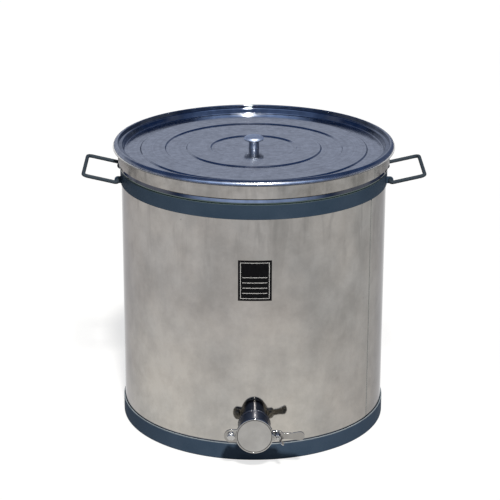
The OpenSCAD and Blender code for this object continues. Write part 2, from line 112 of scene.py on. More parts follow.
def rounded(corners, closed=True, step=TURN / 32):
    """Outline from corners (x, y, radius), each rounded by an arc: points as (x, y, normal x, normal y)."""
    count = len(corners)
    places = [Vector(corner[:2]) for corner in corners]
    points = []
    for i, (x, y, radius) in enumerate(corners):
        here = places[i]
        back = places[i - 1] - here if closed or i > 0 else here - places[1]
        ahead = places[(i + 1) % count] - here if closed or i < count - 1 else here - places[i - 1]
        back.normalize()
        ahead.normalize()
        turn = math.atan2(ahead.dot(Vector((back.y, -back.x))), -back.dot(ahead))
        if radius == 0 or abs(turn) < STRAIGHT:
            along = (ahead - back).normalized()
            points.append((x, y, along.y, -along.x))
            continue
        side = 1 if turn > 0 else -1
        start = here + back * radius * math.tan(abs(turn) / 2)
        centre = start + Vector((back.y, -back.x)) * radius * side
        arms = max(2, math.ceil(abs(turn) / step))
        for k in range(arms + 1):
            arm = Matrix.Rotation(turn * k / arms, 2) @ (start - centre)
            point = centre + arm
            normal = arm.normalized() * side
            points.append((point.x, point.y, normal.x, normal.y))
    kept = [points[0]]
    for point in points[1:]:
        if math.dist(point[:2], kept[-1][:2]) > TINY:
            kept.append(point)
    if closed and math.dist(kept[0][:2], kept[-1][:2]) < TINY:
        kept.pop()
    return kept


def skin(rows, around=True):
    """Faces between rows of points, given by their numbers; around where each row closes on itself."""
    faces = []
    for low, high in zip(rows, rows[1:]):
        for i in range(len(low) if around else len(low) - 1):
            after = (i + 1) % len(low)
            face = list(dict.fromkeys((low[i], low[after], high[after], high[i])))
            if len(face) > 2:
                faces.append(face)
    return faces


def turned(section, steps, closed=True, start=0.0, sweep=TURN):
    """Shape turned about Z from a section in (radius, height): its points, faces and normals."""
    points, normals, rows = [], [], []
    whole = sweep > TURN - TINY
    columns = steps if whole else steps + 1
    angles = [start + sweep * k / steps for k in range(columns)]
    for radius, z, out, up in section:
        if radius < TINY:
            rows.append([len(points)] * columns)
            points.append(Vector((0, 0, z)))
            normals.append(Vector((0, 0, up)))
            continue
        rows.append(list(range(len(points), len(points) + columns)))
        for a in angles:
            points.append(Vector((radius * math.cos(a), radius * math.sin(a), z)))
            normals.append(Vector((out * math.cos(a), out * math.sin(a), up)))
    faces = skin(rows + rows[:1] if closed else rows, whole)
    if not whole:
        for a, order in ((angles[0], 1), (angles[-1], -1)):
            flat = Vector((math.sin(a), -math.cos(a), 0)) * order
            first = len(points)
            points += [Vector((r * math.cos(a), r * math.sin(a), z)) for r, z, out, up in section]
            normals += [flat] * len(section)
            faces.append(list(range(first, len(points)))[::order])
    return points, faces, normals


def made(name, shape, material, body, slot, *nodes):
    """Object from a shape, with its finish, on the body that carries it, in place of the frame's nodes."""
    points, faces, normals = shape
    mesh = bpy.data.meshes.new(name)
    mesh.from_pydata(points, [], faces)
    mesh.shade_smooth()
    if normals:
        mesh.normals_split_custom_set_from_vertices(normals)
    mesh.materials.append(material)
    piece = bpy.data.objects.new(name, mesh)
    bpy.context.scene.collection.objects.link(piece)
    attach(piece, body)
    if nodes:
        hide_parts(*nodes)
    return piece


def add(material, kind, inputs=None, **settings):
    """Node of a material; each input is a value or another node's output."""
    node = material.node_tree.nodes.new(kind)
    for key, value in settings.items():
        setattr(node, key, value)
    for key, value in (inputs or {}).items():
        if isinstance(value, bpy.types.NodeSocket):
            material.node_tree.links.new(value, node.inputs[key])
        else:
            node.inputs[key].default_value = value
    return node


def shades(material, factor, stops):
    """Ramp of colours along a factor, with each stop as (place, colour)."""
    ramp = add(material, "ShaderNodeValToRGB", {"Fac": factor})
    elements = ramp.color_ramp.elements
    while len(elements) < len(stops):
        elements.new(1.0)
    for (place, colour), element in zip(stops, elements):
        element.position = place
        element.color = (*colour, 1)
    return ramp.outputs["Color"]


def two_tone(material, factor, dark, light, start=0.35):
    """Colour from dark to light over the middle of a noise's range."""
    return shades(material, factor, ((start, dark), (1 - start, light)))


def place_on(material):
    """Place on the piece."""
    return add(material, "ShaderNodeTexCoord").outputs["Object"]


def parts_of(material, vector):
    """X, Y and Z of a place or a direction."""
    return add(material, "ShaderNodeSeparateXYZ", {"Vector": vector}).outputs


def noise(material, scale, detail=3.0, stretch=(1, 1, 1), rough=0.5, bend=0.0):
    """Value of a soft noise over the piece, stretched along the axes and bent out of line."""
    scaled = add(material, "ShaderNodeMapping", {"Vector": place_on(material), "Scale": stretch})
    inputs = {"Vector": scaled.outputs["Vector"], "Scale": scale, "Detail": detail, "Roughness": rough}
    inputs["Distortion"] = bend
    return add(material, "ShaderNodeTexNoise", inputs).outputs["Fac"]


def spread(material, value, low, high, start=0.3, end=0.7):
    """Value spread between two limits, as it runs from a start to an end."""
    inputs = {"Value": value, "From Min": start, "From Max": end, "To Min": low, "To Max": high}
    return add(material, "ShaderNodeMapRange", inputs).outputs["Result"]


def reckoned(material, operation, value, *others):
    """Several values added or multiplied together."""
    for other in others:
        value = add(material, "ShaderNodeMath", {0: value, 1: other}, operation=operation).outputs[0]
    return value


def mixed(material, first, second, share):
    """Weighted mean of two values."""
    part = reckoned(material, "MULTIPLY", second, share)
    inputs = {0: first, 1: 1 - share, 2: part}
    return add(material, "ShaderNodeMath", inputs, operation="MULTIPLY_ADD").outputs[0]


def blend(material, factor, first, second, mode="MIX"):
    """Colour between two others, or the first scaled by the second; each is a colour or a node's output."""
    node = add(material, "ShaderNodeMix", {"Factor": factor}, data_type="RGBA", blend_type=mode)
    for key, value in (("A", first), ("B", second)):
        socket = next(s for s in node.inputs if s.name == key and s.type == "RGBA")
        if isinstance(value, bpy.types.NodeSocket):
            material.node_tree.links.new(value, socket)
        else:
            socket.default_value = (*value, 1)
    return next(s for s in node.outputs if s.type == "RGBA")


def finish(name, **sockets):
    """New material with one main shader, whose even values are set on its own sockets."""
    material = bpy.data.materials.new(name)
    material.use_nodes = True
    shader = material.node_tree.nodes["Principled BSDF"]
    for key, value in sockets.items():
        shader.inputs[key.replace("_", " ")].default_value = value
    return material, shader


def feed(material, shader, **sockets):
    """Links nodes' outputs to the main shader's sockets."""
    for key, value in sockets.items():
        material.node_tree.links.new(value, shader.inputs[key.replace("_", " ")])


def relief(material, height, distance, strength=1.0):
    """Fine relief on a surface from a height."""
    inputs = {"Height": height, "Distance": distance, "Strength": strength}
    return add(material, "ShaderNodeBump", inputs).outputs["Normal"]


def toned(colour, shares):
    """Colour with each of its parts scaled."""
    return tuple(part * share for part, share in zip(colour, shares))


def polished_sheet(name, dark, light, roughness, drips_and_streaks_from, drips_and_streaks_to):
    """Rolled sheet: near mirror, clouded by wiping, warmer or more olive in places, lighter low on the left.

    Dark runs lie below an edge: dried drips on the wall, and painted dark reflection streaks on the skirt.
    Painted shade darkens the bead's foot and the sheet just above the base band.
    """
    material, shader = finish(name, Metallic=1.0, Specular_Tint=edge_tint)
    spot = parts_of(material, place_on(material))
    streaks = noise(material, 55.0, 4.0, (1, 1, 0.05))
    patches = noise(material, 8.0, 6.0, (1, 1, 0.8), 0.62)
    smudges = noise(material, 27.0, 6.0, (1, 1, 0.95), 0.66)
    clouds = mixed(material, patches, smudges, 0.38)
    colour = two_tone(material, mixed(material, clouds, streaks, 0.06), dark, light, 0.40)
    rosy = spread(material, noise(material, 7.0, 4.0, (1, 1, 0.8), 0.6), 0.0, 0.6)
    colour = blend(material, rosy, colour, warm_shares, "MULTIPLY")
    # Colour made lighter low on the left, fading out towards the right and upwards.
    lighter_on_left = spread(material, spot["X"], 0.90, 0.05, lighter_x_from, lighter_x_to)
    lighter_low_left = spread(material, spot["Z"], lighter_on_left, 0.0, lighter_z_low, lighter_z_high)
    colour = blend(material, lighter_low_left, colour, lighter_shares, "MULTIPLY")
    duller = spread(material, spot["X"], 0.0, 1.0, olive_from, olive_to)
    colour = blend(material, duller, colour, olive_shares, "MULTIPLY")
    # Dark runs: dried drips on the wall, and painted dark reflection streaks on the skirt.
    runs = spread(material, noise(material, 30.0, 4.0, (1, 1, 0.16), 0.60, 0.55), 0.0, 0.5, 0.52, 0.70)
    below = spread(material, spot["Z"], 0.0, 1.0, drips_and_streaks_to, drips_and_streaks_from)
    colour = blend(material, reckoned(material, "MULTIPLY", runs, below), colour, toned(dark, drip_and_streak_shares))
    specks = spread(material, noise(material, 120.0, 2.0, (1, 1, 0.7)), 0.0, 0.5, 0.76, 0.82)
    colour = blend(material, specks, colour, toned(dark, speck_shares))
    # Painted shade: the bead's foot is darkened where it stands in shade just over the upper band.
    above_foot = spread(material, spot["Z"], 0.0, 1.0, bead_foot - bead_shade_start, bead_foot)
    bead_shade_top = bead_foot + bead_shade_h
    below_bead = spread(material, spot["Z"], 1.0, 0.0, bead_shade_top, bead_shade_top + bead_shade_fade)
    colour = blend(material, reckoned(material, "MULTIPLY", above_foot, below_bead), colour, bead_shade_tone)
    # Painted shade: the sheet just above the base band is darkened, where the crevice lies in shade.
    crevice = spread(material, spot["Z"], 1.0, 0.0, base_top + crevice_shade_h, base_top + 2 * crevice_shade_h)
    colour = blend(material, crevice, colour, crevice_shade_tone)
    feed(material, shader, Base_Color=colour, Roughness=spread(material, clouds, *roughness))
    waves = noise(material, 7.0, 1.0, (1, 1, 0.8))
    feed(material, shader, Normal=relief(material, waves, 0.0012, 0.25))
    return material


def window_heights():
    """Heights of the grid's rows in the window round the outlet's hole."""
    return [window_low + (window_high - window_low) * k / window_rows for k in range(window_rows + 1)]


def with_outlet(shape, section):
    """Wall with a round hole at the front: a window in its grid is filled by rings round the hole."""
    points, faces, normals = shape
    hole_r = tube_r + fit
    first = round((FRONT % TURN) / TURN * wall_steps) - window_columns
    last = first + 2 * window_columns

    def row_of(radius, z):
        """Row of the grid on that side of the sheet, nearest to a height."""
        side = [i for i, spot in enumerate(section) if abs(spot[0] - radius) < TINY]
        return min(side, key=lambda i: abs(section[i][1] - z))

    inside_window = set()
    loops = []
    for radius, facing in ((tank_r, 1), (tank_r - sheet, -1)):
        rows = [row_of(radius, z) for z in window_heights()]
        grid = [[row * wall_steps + column for column in range(first, last + 1)] for row in rows]
        inside_window.update(
            frozenset((grid[j][i], grid[j][i + 1], grid[j + 1][i], grid[j + 1][i + 1]))
            for j in range(window_rows) for i in range(2 * window_columns)
        )
        border = grid[0][:-1] + [row[-1] for row in grid[:-1]]
        border += grid[-1][:0:-1] + [row[0] for row in grid[:0:-1]]
        outer = border
        for k in range(1, hole_rings + 1):
            ring = []
            for index in border:
                edge = points[index]
                a = math.atan2(edge.z - gate_z, edge.x)
                reach = math.hypot(edge.x, edge.z - gate_z)
                reach += (hole_r - reach) * k / hole_rings
                x = reach * math.cos(a)
                y = -math.sqrt(radius * radius - x * x)
                ring.append(len(points))
                points.append(Vector((x, y, gate_z + reach * math.sin(a))))
                normals.append(Vector((x, y, 0)).normalized() * facing)
            faces += skin([outer, ring][::facing])
            outer = ring
        loops.append(outer)
    kept = [face for face in faces if frozenset(face) not in inside_window]
    return points, kept + skin(loops), normals


wall_steel = polished_sheet(
    "polished_wall", wall_dark, wall_light, wall_rough, band_foot, band_foot - drip_length,
)
inner_r = tank_r - sheet
wall_section = rounded(
    [(inner_r, wall_low.z, cut_r), (tank_r, wall_low.z, cut_r)]
    + [(tank_r, z, 0) for z in window_heights()]
    + [
        (tank_r, bead_foot, bead_root_r), (tank_r + bead_out, bead_low, bead_low_r),
        (tank_r + bead_out, bead_high, bead_high_r), (tank_r + bead_out - bead_lean, bead_head, bead_back_r),
        (tank_r, bead_head, bead_neck_r), (tank_r, rim_low, cut_r), (wall_high.x, rim_low, rim_r),
        (wall_high.x, wall_top, rim_r), (inner_r, wall_top, rim_r),
        (inner_r, bead_head + sheet / 2, bead_root_r), (inner_r + bead_out, bead_high, bead_low_r),
        (inner_r + bead_out, bead_low, bead_inner_r), (inner_r, bead_foot - sheet / 2, bead_root_r),
    ]
    + [(inner_r, z, 0) for z in window_heights()[::-1]]
)
wall_shape = with_outlet(turned(wall_section, wall_steps), wall_section)
wall_piece = made("wall_sheet", wall_shape, wall_steel, "tank", "polished_steel", "tank_wall")

# Weld seam of the wall: the two edges of the sheet butt together and are fused from top to bottom.
# The bead is ground back until it stands only a fifth of a millimetre proud, with fine cross ripples.
seam_low, seam_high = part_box("wall_seam")
seam_angle = math.radians(-31)
seam_w = 0.0035
seam_out = 0.0002
seam_root = 0.0002
seam_step = 0.004
seam_rows = 8
seam_across = 8
seam_waves = ((0.10, 1.9), (0.06, 0.7))
seam_edge_waves = ((0.04, 0.9),)
seam_tones = (0.120, 0.124, 0.116), (0.205, 0.208, 0.196)
weld_rough = (0.18, 0.34)


def marked(name, tones, roughness, marks, raised_by=None, clouds=None, share=0.5, **sockets):
    """Finish whose colour and polish vary with fine marks, which may stand in relief, and broader clouds."""
    material, shader = finish(name, **sockets)
    fine = noise(material, *marks)
    tone = mixed(material, fine, noise(material, *clouds), share) if clouds else fine
    feed(material, shader, Base_Color=two_tone(material, tone, *tones))
    if roughness:
        feed(material, shader, Roughness=spread(material, tone, *roughness))
    if raised_by:
        feed(material, shader, Normal=relief(material, fine, *raised_by))
    return material, shader


def weld_metal(name, tones):
    """Weld metal: duller than the sheet and crossed by fine ripples."""
    ripples, clouds = (900.0, 2.0, (0.3, 0.3, 1)), (60.0, 2.0)
    return marked(name, tones, weld_rough, ripples, (0.0003, 0.4), clouds, Metallic=1.0)[0]


def rippled(place, waves):
    """1 with small waves along a weld, each of them as (height, pace)."""
    return 1 + sum(height * math.sin(place * pace) for height, pace in waves)


def seam_strip(radius, low, high):
    """Low rounded strip up a cylinder, with a ripple along it."""
    points, rows = [], []
    along = max(seam_rows, round((high - low) / seam_step))
    for j in range(along + 1):
        z = low + (high - low) * j / along
        spots = []
        for i in range(seam_across + 1):
            share = 2 * i / seam_across - 1
            rise = seam_out * (1 - share * share) * rippled(j, seam_waves)
            spots.append((share * rippled(j, seam_edge_waves), rise))
        spots += [(1, -seam_root), (-1, -seam_root)]
        rows.append(list(range(len(points), len(points) + len(spots))))
        for share, rise in spots:
            a = seam_angle + share * seam_w / 2 / radius
            reach = radius + rise
            points.append(Vector((reach * math.cos(a), reach * math.sin(a), z)))
    return points, skin(rows) + [rows[0][::-1], rows[-1]], None


weld_steel = weld_metal("ground_weld_metal", seam_tones)
wall_seam = seam_strip(tank_r, seam_low.z, seam_high.z)
made("wall_weld_seam", wall_seam, weld_steel, "tank", "weld_steel", "wall_seam")

# Bottom: a round of satin steel sheet with its edge turned down, pressed up into the foot of the
# wall and welded there, a little below the bore of the gate so that the honey drains to it.
# The wall's inside has the same satin finish.
bottom_low, bottom_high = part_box("tank_bottom")
bottom_r = bottom_high.x
bottom_bend = 0.003
bottom_steps = 180
satin_tones = (0.27, 0.268, 0.26), (0.36, 0.358, 0.345)
satin_rough = (0.38, 0.50)
inside_r = tank_r - sheet * 0.9


def satin_sheet():
    """Dull rolled sheet with fine grinding lines."""
    lines, clouds = (400.0, 3.0, (1, 0.04, 1)), (14.0, 3.0)
    sheen = satin_tones, satin_rough
    return marked("satin_sheet", *sheen, lines, (0.0003, 0.2), clouds, 0.45, Metallic=1.0)[0]


def lathed(corners, steps, closed=True, start=0.0, sweep=TURN):
    """Shape turned about Z from the corners of its section, each rounded by an arc."""
    return turned(rounded(corners, closed), steps, closed, start, sweep)


satin_steel = satin_sheet()
wall_piece.data.materials.append(satin_steel)
for face in wall_piece.data.polygons:
    face.material_index = 1 if math.hypot(face.center.x, face.center.y) < inside_r else 0
bottom_shape = lathed([
    (0, bottom_high.z - sheet, 0), (bottom_r - sheet, bottom_high.z - sheet, bottom_bend),
    (bottom_r - sheet, bottom_low.z, cut_r), (bottom_r, bottom_low.z, cut_r),
    (bottom_r, bottom_high.z, bottom_bend + sheet), (0, bottom_high.z, 0),
], bottom_steps, False)
made("bottom_round", bottom_shape, satin_steel, "tank", "satin_steel", "tank_bottom")

# Painted bands: strips of mild steel bent round the tank and painted slate blue. The base band has an
# inward flange that the tank stands on, and the upper band sits under the bead. Each is split at the
# back, where its ends are bent out into ears and drawn together by a bolt.
base_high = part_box("base_band")[1]
base_r = base_high.x
base_t = 0.0021
base_flange_r = 0.234
base_foot_r = 0.0024
upper_low, upper_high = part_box("upper_band")
upper_r = upper_high.x
upper_t = 0.0020
upper_middle = (upper_low.z + upper_high.z) / 2
band_edge_r = 0.0007
band_inner_r = 0.0006
band_split = 0.008
ear_h = 0.022
ear_bend = 0.0035
ear_foot = 0.016
ear_sunk = 0.0004
ear_edge_share = 0.45
plate_arms = 3
slate_dark = (0.0385, 0.0650, 0.1020)
slate_light = (0.0545, 0.0840, 0.1265)
base_lighter_shares = (1.20, 1.17, 1.17)
# Pale tones laid along the bands' top edges: a painted highlight where the sun catches them.
edge_highlight_fade = 0.0022
base_edge_highlight = (0.290, 0.335, 0.375)
upper_edge_highlight = (0.110, 0.150, 0.150)
paint_rough = (0.54, 0.68)


def satin_paint(name, dark, light, highlight_tone, highlight_top=1.0):
    """Brushed-on satin paint with a soft orange-peel surface, and a painted highlight in a pale tone just
    below the height given.
    """
    material, shader = finish(name, Specular_IOR_Level=0.03)
    clouds = noise(material, 16.0, 4.0)
    grain = noise(material, 420.0, 2.0)
    z = parts_of(material, place_on(material))["Z"]
    # Painted highlight: a pale tone along the top edge, where the sun catches it.
    edge_highlight = spread(material, z, 0.0, 1.0, highlight_top - edge_highlight_fade, highlight_top)
    edged = mixed(material, mixed(material, clouds, grain, 0.3), edge_highlight, 0.5)
    colour = shades(material, edged, ((0.17, dark), (0.33, light), (0.62, highlight_tone)))
    feed(material, shader, Base_Color=colour, Roughness=spread(material, clouds, *paint_rough))
    feed(material, shader, Normal=relief(material, grain, 0.0002, 0.35))
    return material


def together(*shapes):
    """Several shapes as one."""
    points, faces, normals = [], [], []
    for shape in shapes:
        first = len(points)
        points += shape[0]
        faces += [[first + i for i in face] for face in shape[1]]
        normals += shape[2]
    return points, faces, normals


def moved(shape, matrix):
    """Shape set in another place, or mirrored."""
    points, faces, normals = shape
    turn = matrix.to_3x3()
    order = 1 if turn.determinant() > 0 else -1
    return (
        [matrix @ point for point in points],
        [face[::order] for face in faces],
        [(turn @ normal).normalized() for normal in normals],
    )


def raised(shape, z):
    """Shape moved along Z."""
    return moved(shape, Matrix.Translation((0, 0, z)))


def mirrored(shape):
    """Shape as seen in a mirror across the tank, from its right side to its left."""
    return moved(shape, Matrix.Scale(-1, 4, (1, 0, 0)))


def plate(loops, depth, edge=0.0004):
    """Flat plate in XY, rising along Z, with softly rounded edges.

    The first loop is its outline and the others are holes. An outline's corners are rounder than the edge.
    """
    points, faces, normals = [], [], []
    levels = []
    for k in range(plate_arms + 1):
        a = TURN / 4 * k / plate_arms
        levels.append((edge * (1 - math.sin(a)), edge * (1 - math.cos(a)), math.sin(a), -math.cos(a)))
    levels += [(inset, depth - z, out, -up) for inset, z, out, up in levels[::-1]]
    caps = [[], []]
    for loop in loops:
        rows = []
        for inset, z, out, up in levels:
            rows.append(range(len(points), len(points) + len(loop)))
            for x, y, nx, ny in loop:
                points.append(Vector((x - nx * inset, y - ny * inset, z)))
                normals.append(Vector((nx * out, ny * out, up)).normalized())
        faces += skin(rows)
        caps[0].append(list(rows[0]))
        caps[1].append(list(rows[-1]))
    for rims, order in ((caps[0], -1), (caps[1], 1)):
        order_of = [i for rim in rims for i in rim]
        for face in geometry.tessellate_polygon([[points[i] for i in rim] for rim in rims]):
            corners = [order_of[i] for i in face]
            a, b, c = (points[i] for i in corners)
            up = (b - a).cross(c - a).z
            faces.append(corners if up * order > 0 else corners[::-1])
    return points, faces, normals


def clamp_ear(band_r, thickness, far):
    """End of a band bent outwards: a strip in plan, for the ear on the +X side, standing on z = 0."""
    near = band_split / 2
    foot = near + ear_foot
    edge_r = thickness * ear_edge_share
    outline = rounded([
        (near, far, edge_r), (near, band_r - thickness, ear_bend),
        (foot, band_r - thickness - ear_sunk, edge_r), (foot, band_r - ear_sunk, edge_r),
        (near + thickness, band_r - ear_sunk / 2, ear_bend), (near + thickness, far, edge_r),
    ])
    return plate([outline], ear_h)


def split_band(corners, band_r, thickness, far, middle_z):
    """Band turned from one side of the gap at the back round to the other, with its two clamp ears."""
    gap = math.asin((band_split / 2 + ear_bend) / band_r)
    strip = lathed(corners, wall_steps, True, TURN / 4 + gap, TURN - 2 * gap)
    ear = raised(clamp_ear(band_r, thickness, far), middle_z - ear_h / 2)
    return together(strip, ear, mirrored(ear))


# The base band's paint is set a little lighter than the upper band's.
base_paint_dark, base_paint_light = toned(slate_dark, base_lighter_shares), toned(slate_light, base_lighter_shares)
base_paint = satin_paint("slate_base_paint", base_paint_dark, base_paint_light, base_edge_highlight, base_high.z)
upper_paint = satin_paint("slate_upper_paint", slate_dark, slate_light, upper_edge_highlight, upper_high.z)
base_corners = [
    (base_flange_r, 0, band_inner_r), (base_r, 0, base_foot_r), (base_r, base_high.z, band_edge_r),
    (base_r - base_t, base_high.z, band_edge_r), (base_r - base_t, base_t, band_inner_r),
    (base_flange_r, base_t, band_inner_r),
]
base_shape = split_band(base_corners, base_r, base_t, base_high.y, base_high.z / 2)
made("base_band_strip", base_shape, base_paint, "tank", "band_paint", "base_band")
upper_corners = [
    (upper_r - upper_t, upper_low.z, band_inner_r), (upper_r, upper_low.z, band_edge_r),
    (upper_r, upper_high.z, band_edge_r), (upper_r - upper_t, upper_high.z, band_inner_r),
]
upper_shape = split_band(upper_corners, upper_r, upper_t, upper_high.y, upper_middle)
made("upper_band_strip", upper_shape, upper_paint, "tank", "band_paint", "upper_band")

# Clamp bolts and nuts: bright M6 hexagon bolts that pull the ears of each band together at the back.
# Heads and nuts are forged, with rounded corners, and the thread shows past the nut.
bolt_r = 0.003
bolt_share = 0.55
head_share = 1.32
nut_share = 1.6
past_nut_share = 0.6
head_h, nut_h = bolt_r * head_share, bolt_r * nut_share
hexagon_share = 1.88
hexagon_corner_share = 0.11
hexagon_edge_share = 0.09
hole_steps = 48
bar_steps = 32
bar_edge = 0.0002
thread_pitch = 0.001
thread_depth = 0.0004
thread_r = 0.00005
bright_tones = (0.36, 0.355, 0.345), (0.47, 0.465, 0.45)
bright_rough = (0.14, 0.28)


def bright_fastener():
    """Cold-headed steel: fairly bright, with fine turning marks."""
    marks, clouds = (700.0, 2.0), (120.0, 2.0)
    sheen = bright_tones, bright_rough
    return marked("bright_fastener", *sheen, marks, (0.0001, 0.3), clouds, Metallic=1.0)[0]


def hole(radius, x=0.0):
    """Round hole in a plate: a loop that runs the other way from an outline."""
    angles = [-TURN * k / hole_steps for k in range(hole_steps)]
    return [(x + radius * math.cos(a), radius * math.sin(a), -math.cos(a), -math.sin(a)) for a in angles]


def hexagon(bar_r, height, bore=0.0):
    """Hexagon head for a bar, or a nut where it has a bore."""
    corner_r = bar_r * hexagon_share
    turns = [TURN * k / 6 for k in range(6)]
    round_r = corner_r * hexagon_corner_share
    outline = rounded([(corner_r * math.cos(a), corner_r * math.sin(a), round_r) for a in turns])
    return plate([outline] + ([hole(bore)] if bore else []), height, corner_r * hexagon_edge_share)


def shank(radius, start, end, thread_from):
    """Round bar along Z whose end carries a thread, drawn as close grooves."""
    corners = [(0, start, 0), (radius, start, bar_edge)]
    z = thread_from
    while z + thread_pitch < end - thread_pitch / 2:
        corners += [(radius, z, thread_r), (radius - thread_depth, z + thread_pitch / 2, thread_r)]
        z += thread_pitch
    corners += [(radius, z, thread_r), (radius - thread_depth, end, bar_edge), (0, end, 0)]
    return lathed(corners, bar_steps, False)


fastener_steel = bright_fastener()
bolt_shapes, nut_shapes = [], []
for band_r, band_t, ear_far, middle_z in (
    (base_r, base_t, base_high.y, base_high.z / 2),
    (upper_r, upper_t, upper_high.y, upper_middle),
):
    bolt_y = band_r + (ear_far - band_r) * bolt_share
    across = Matrix.Translation((0, bolt_y, middle_z)) @ Matrix.Rotation(TURN / 4, 4, "Y")
    nut_from = band_split / 2 + band_t
    bolt_end = nut_from + nut_h + past_nut_share * bolt_r
    bolt = together(
        raised(hexagon(bolt_r, head_h), -nut_from - head_h),
        shank(bolt_r, -nut_from - head_h / 2, bolt_end, nut_from),
    )
    bolt_shapes.append(moved(bolt, across))
    nut_shapes.append(moved(raised(hexagon(bolt_r, nut_h, bolt_r + fit), nut_from), across))
made("clamp_bolts", together(*bolt_shapes), fastener_steel, "tank", "fastener_steel", "band_bolts")
made("clamp_nuts", together(*nut_shapes), fastener_steel, "tank", "fastener_steel", "band_nuts")

# Lugs of the carrying loops: short blocks of flat bar, drilled for the loop's rod ends, welded to the
# upper band and painted with it. Each side of the tank has a pair.
pivots = {joint["name"]: joint["pos_m"] for joint in frame["joints"] if "pos_m" in joint}
loop_x, loop_z = pivots["right_loop_swing"][::2]
lug_low, lug_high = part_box("handle_lugs_right")
lug_r = (lug_high.z - lug_low.z) / 2
lug_t = 0.005
lug_y = lug_high.y - lug_t / 2
lug_sunk = 0.0006
lug_root = loop_x - math.sqrt(upper_r ** 2 - lug_high.y ** 2) + lug_sunk
lug_root_r = 0.0009
lug_edge = 0.0007
rod_r = 0.0035
round_share = 0.999


def round_ended(x, end_r, inner, bore, depth, root_r=0.0006, edge=0.0004):
    """Flat plate with a round end about a hole at x, running in to the inner end."""
    side = 1 if x > inner else -1
    tip = x + side * end_r
    corners = [
        (inner, -end_r, root_r), (tip, -end_r, end_r * round_share),
        (tip, end_r, end_r * round_share), (inner, end_r, root_r),
    ]
    return plate([rounded(corners[::side]), hole(bore, x)], depth, edge)


lug_plate = round_ended(0, lug_r, -lug_root, rod_r + fit, lug_t, lug_root_r, lug_edge)
upright = moved(raised(lug_plate, -lug_t / 2), Matrix.Rotation(TURN / 4, 4, "X"))
lug_pair = together(*(moved(upright, Matrix.Translation((loop_x, end * lug_y, loop_z))) for end in (1, -1)))
made("loop_lugs_right", lug_pair, upper_paint, "tank", "band_paint", "handle_lugs_right")
made("loop_lugs_left", mirrored(lug_pair), upper_paint, "tank", "band_paint", "handle_lugs_left")

# Carrying loops: seven-millimetre round bar bent into a hand-wide loop, its ends turned in, rounded
# and sprung into the lugs, then painted. They swing in the lugs and stand a little above level.
leg_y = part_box("handle_right")[1].y - rod_r
tip_length = 0.032
tip_y = leg_y - tip_length + rod_r
tip_bend = 0.006
grip_tilt = math.radians(13)
grip_reach = 0.065
grip_bend = 0.009
rod_steps = 20
rod_end_arms = 6
loop_dark, loop_light = (0.042, 0.057, 0.074), (0.060, 0.078, 0.098)


def rod(path, radius):
    """Round bar along a flat path in XY, with rounded ends."""
    points, normals, rows = [], [], []
    angles = [TURN / 4 * k / (rod_end_arms + 0.5) for k in range(1, rod_end_arms + 1)]
    rings = [(path[0], -a) for a in angles[::-1]] + [(spot, 0.0) for spot in path]
    rings += [(path[-1], a) for a in angles]
    for (x, y, nx, ny), a in rings:
        rows.append(list(range(len(points), len(points) + rod_steps)))
        for k in range(rod_steps):
            b = TURN * k / rod_steps
            out = Vector((nx * math.cos(b), ny * math.cos(b), math.sin(b)))
            normal = out * math.cos(a) + Vector((-ny, nx, 0)) * math.sin(a)
            points.append(Vector((x, y, 0)) + normal * radius)
            normals.append(normal)
    faces = [[a, d, c, b] for a, b, c, d in skin(rows)]
    return points, faces + [rows[0], rows[-1][::-1]], normals


loop_path = rounded([
    (0, -tip_y, 0), (0, -leg_y, tip_bend), (grip_reach, -leg_y, grip_bend),
    (grip_reach, leg_y, grip_bend), (0, leg_y, tip_bend), (0, tip_y, 0),
], closed=False, step=TURN / 48)
handle_paint = satin_paint("slate_loop_paint", loop_dark, loop_light, loop_light)
tilted = Matrix.Translation((loop_x, 0, loop_z)) @ Matrix.Rotation(-grip_tilt, 4, "Y")
loop_shape = moved(rod(loop_path, rod_r), tilted)
made("carrying_loop_right", loop_shape, handle_paint, "handle_right", "handle_paint", "handle_right")
made("carrying_loop_left", mirrored(loop_shape), handle_paint, "handle_left", "handle_paint", "handle_left")

# Outlet tube of the honey gate: a short length of thick stainless tube, turned bright on the lathe,
# pushed through the wall and welded round with a small rippled fillet.
tube_wall = 0.0022
tube_bore = tube_r - tube_wall
tube_back, tube_front = -tube_high.y, -tube_low.y
tube_length = tube_front - tube_back
tube_back_r, tube_front_r = 0.0005, 0.0003
# Painted dark reflection: the tube's steel is set far darker than the flange's, standing in for dark
# surroundings mirrored in its sides.
tube_dark_reflection_tones = (0.120, 0.120, 0.130), (0.160, 0.160, 0.170)
tube_rough = (0.34, 0.40)
gate_steps = 96
weld_w = 0.0022
weld_h = 0.0016
weld_sunk = 0.0002
weld_around, weld_across = 144, 6
weld_waves = ((0.10, 36), (0.05, 7))
dark_weld_tones = (0.070, 0.070, 0.076), (0.130, 0.128, 0.130)


def turned_steel(name, tones, roughness, grooves=0.0):
    """Turned steel; where the tool's fine grooves are left, they draw its highlights out along the axis."""
    rings, clouds = (900.0, 2.0, (0.05, 1, 0.05)), (40.0, 3.0)
    material, shader = marked(
        name, tones, roughness, rings, (0.0001, 0.15), clouds, 0.4,
        Metallic=1.0, Anisotropic=grooves, Anisotropic_Rotation=0.25,
    )
    if grooves:
        around = add(material, "ShaderNodeTangent", direction_type="RADIAL", axis="Y")
        feed(material, shader, Tangent=around.outputs["Tangent"])
    return material


def at_gate(shape, x, distance):
    """Shape drawn in XY and rising along Z, set facing the front at a distance from the tank's axis."""
    return moved(shape, Matrix.Translation((x, -distance, gate_z)) @ Matrix.Rotation(TURN / 4, 4, "X"))


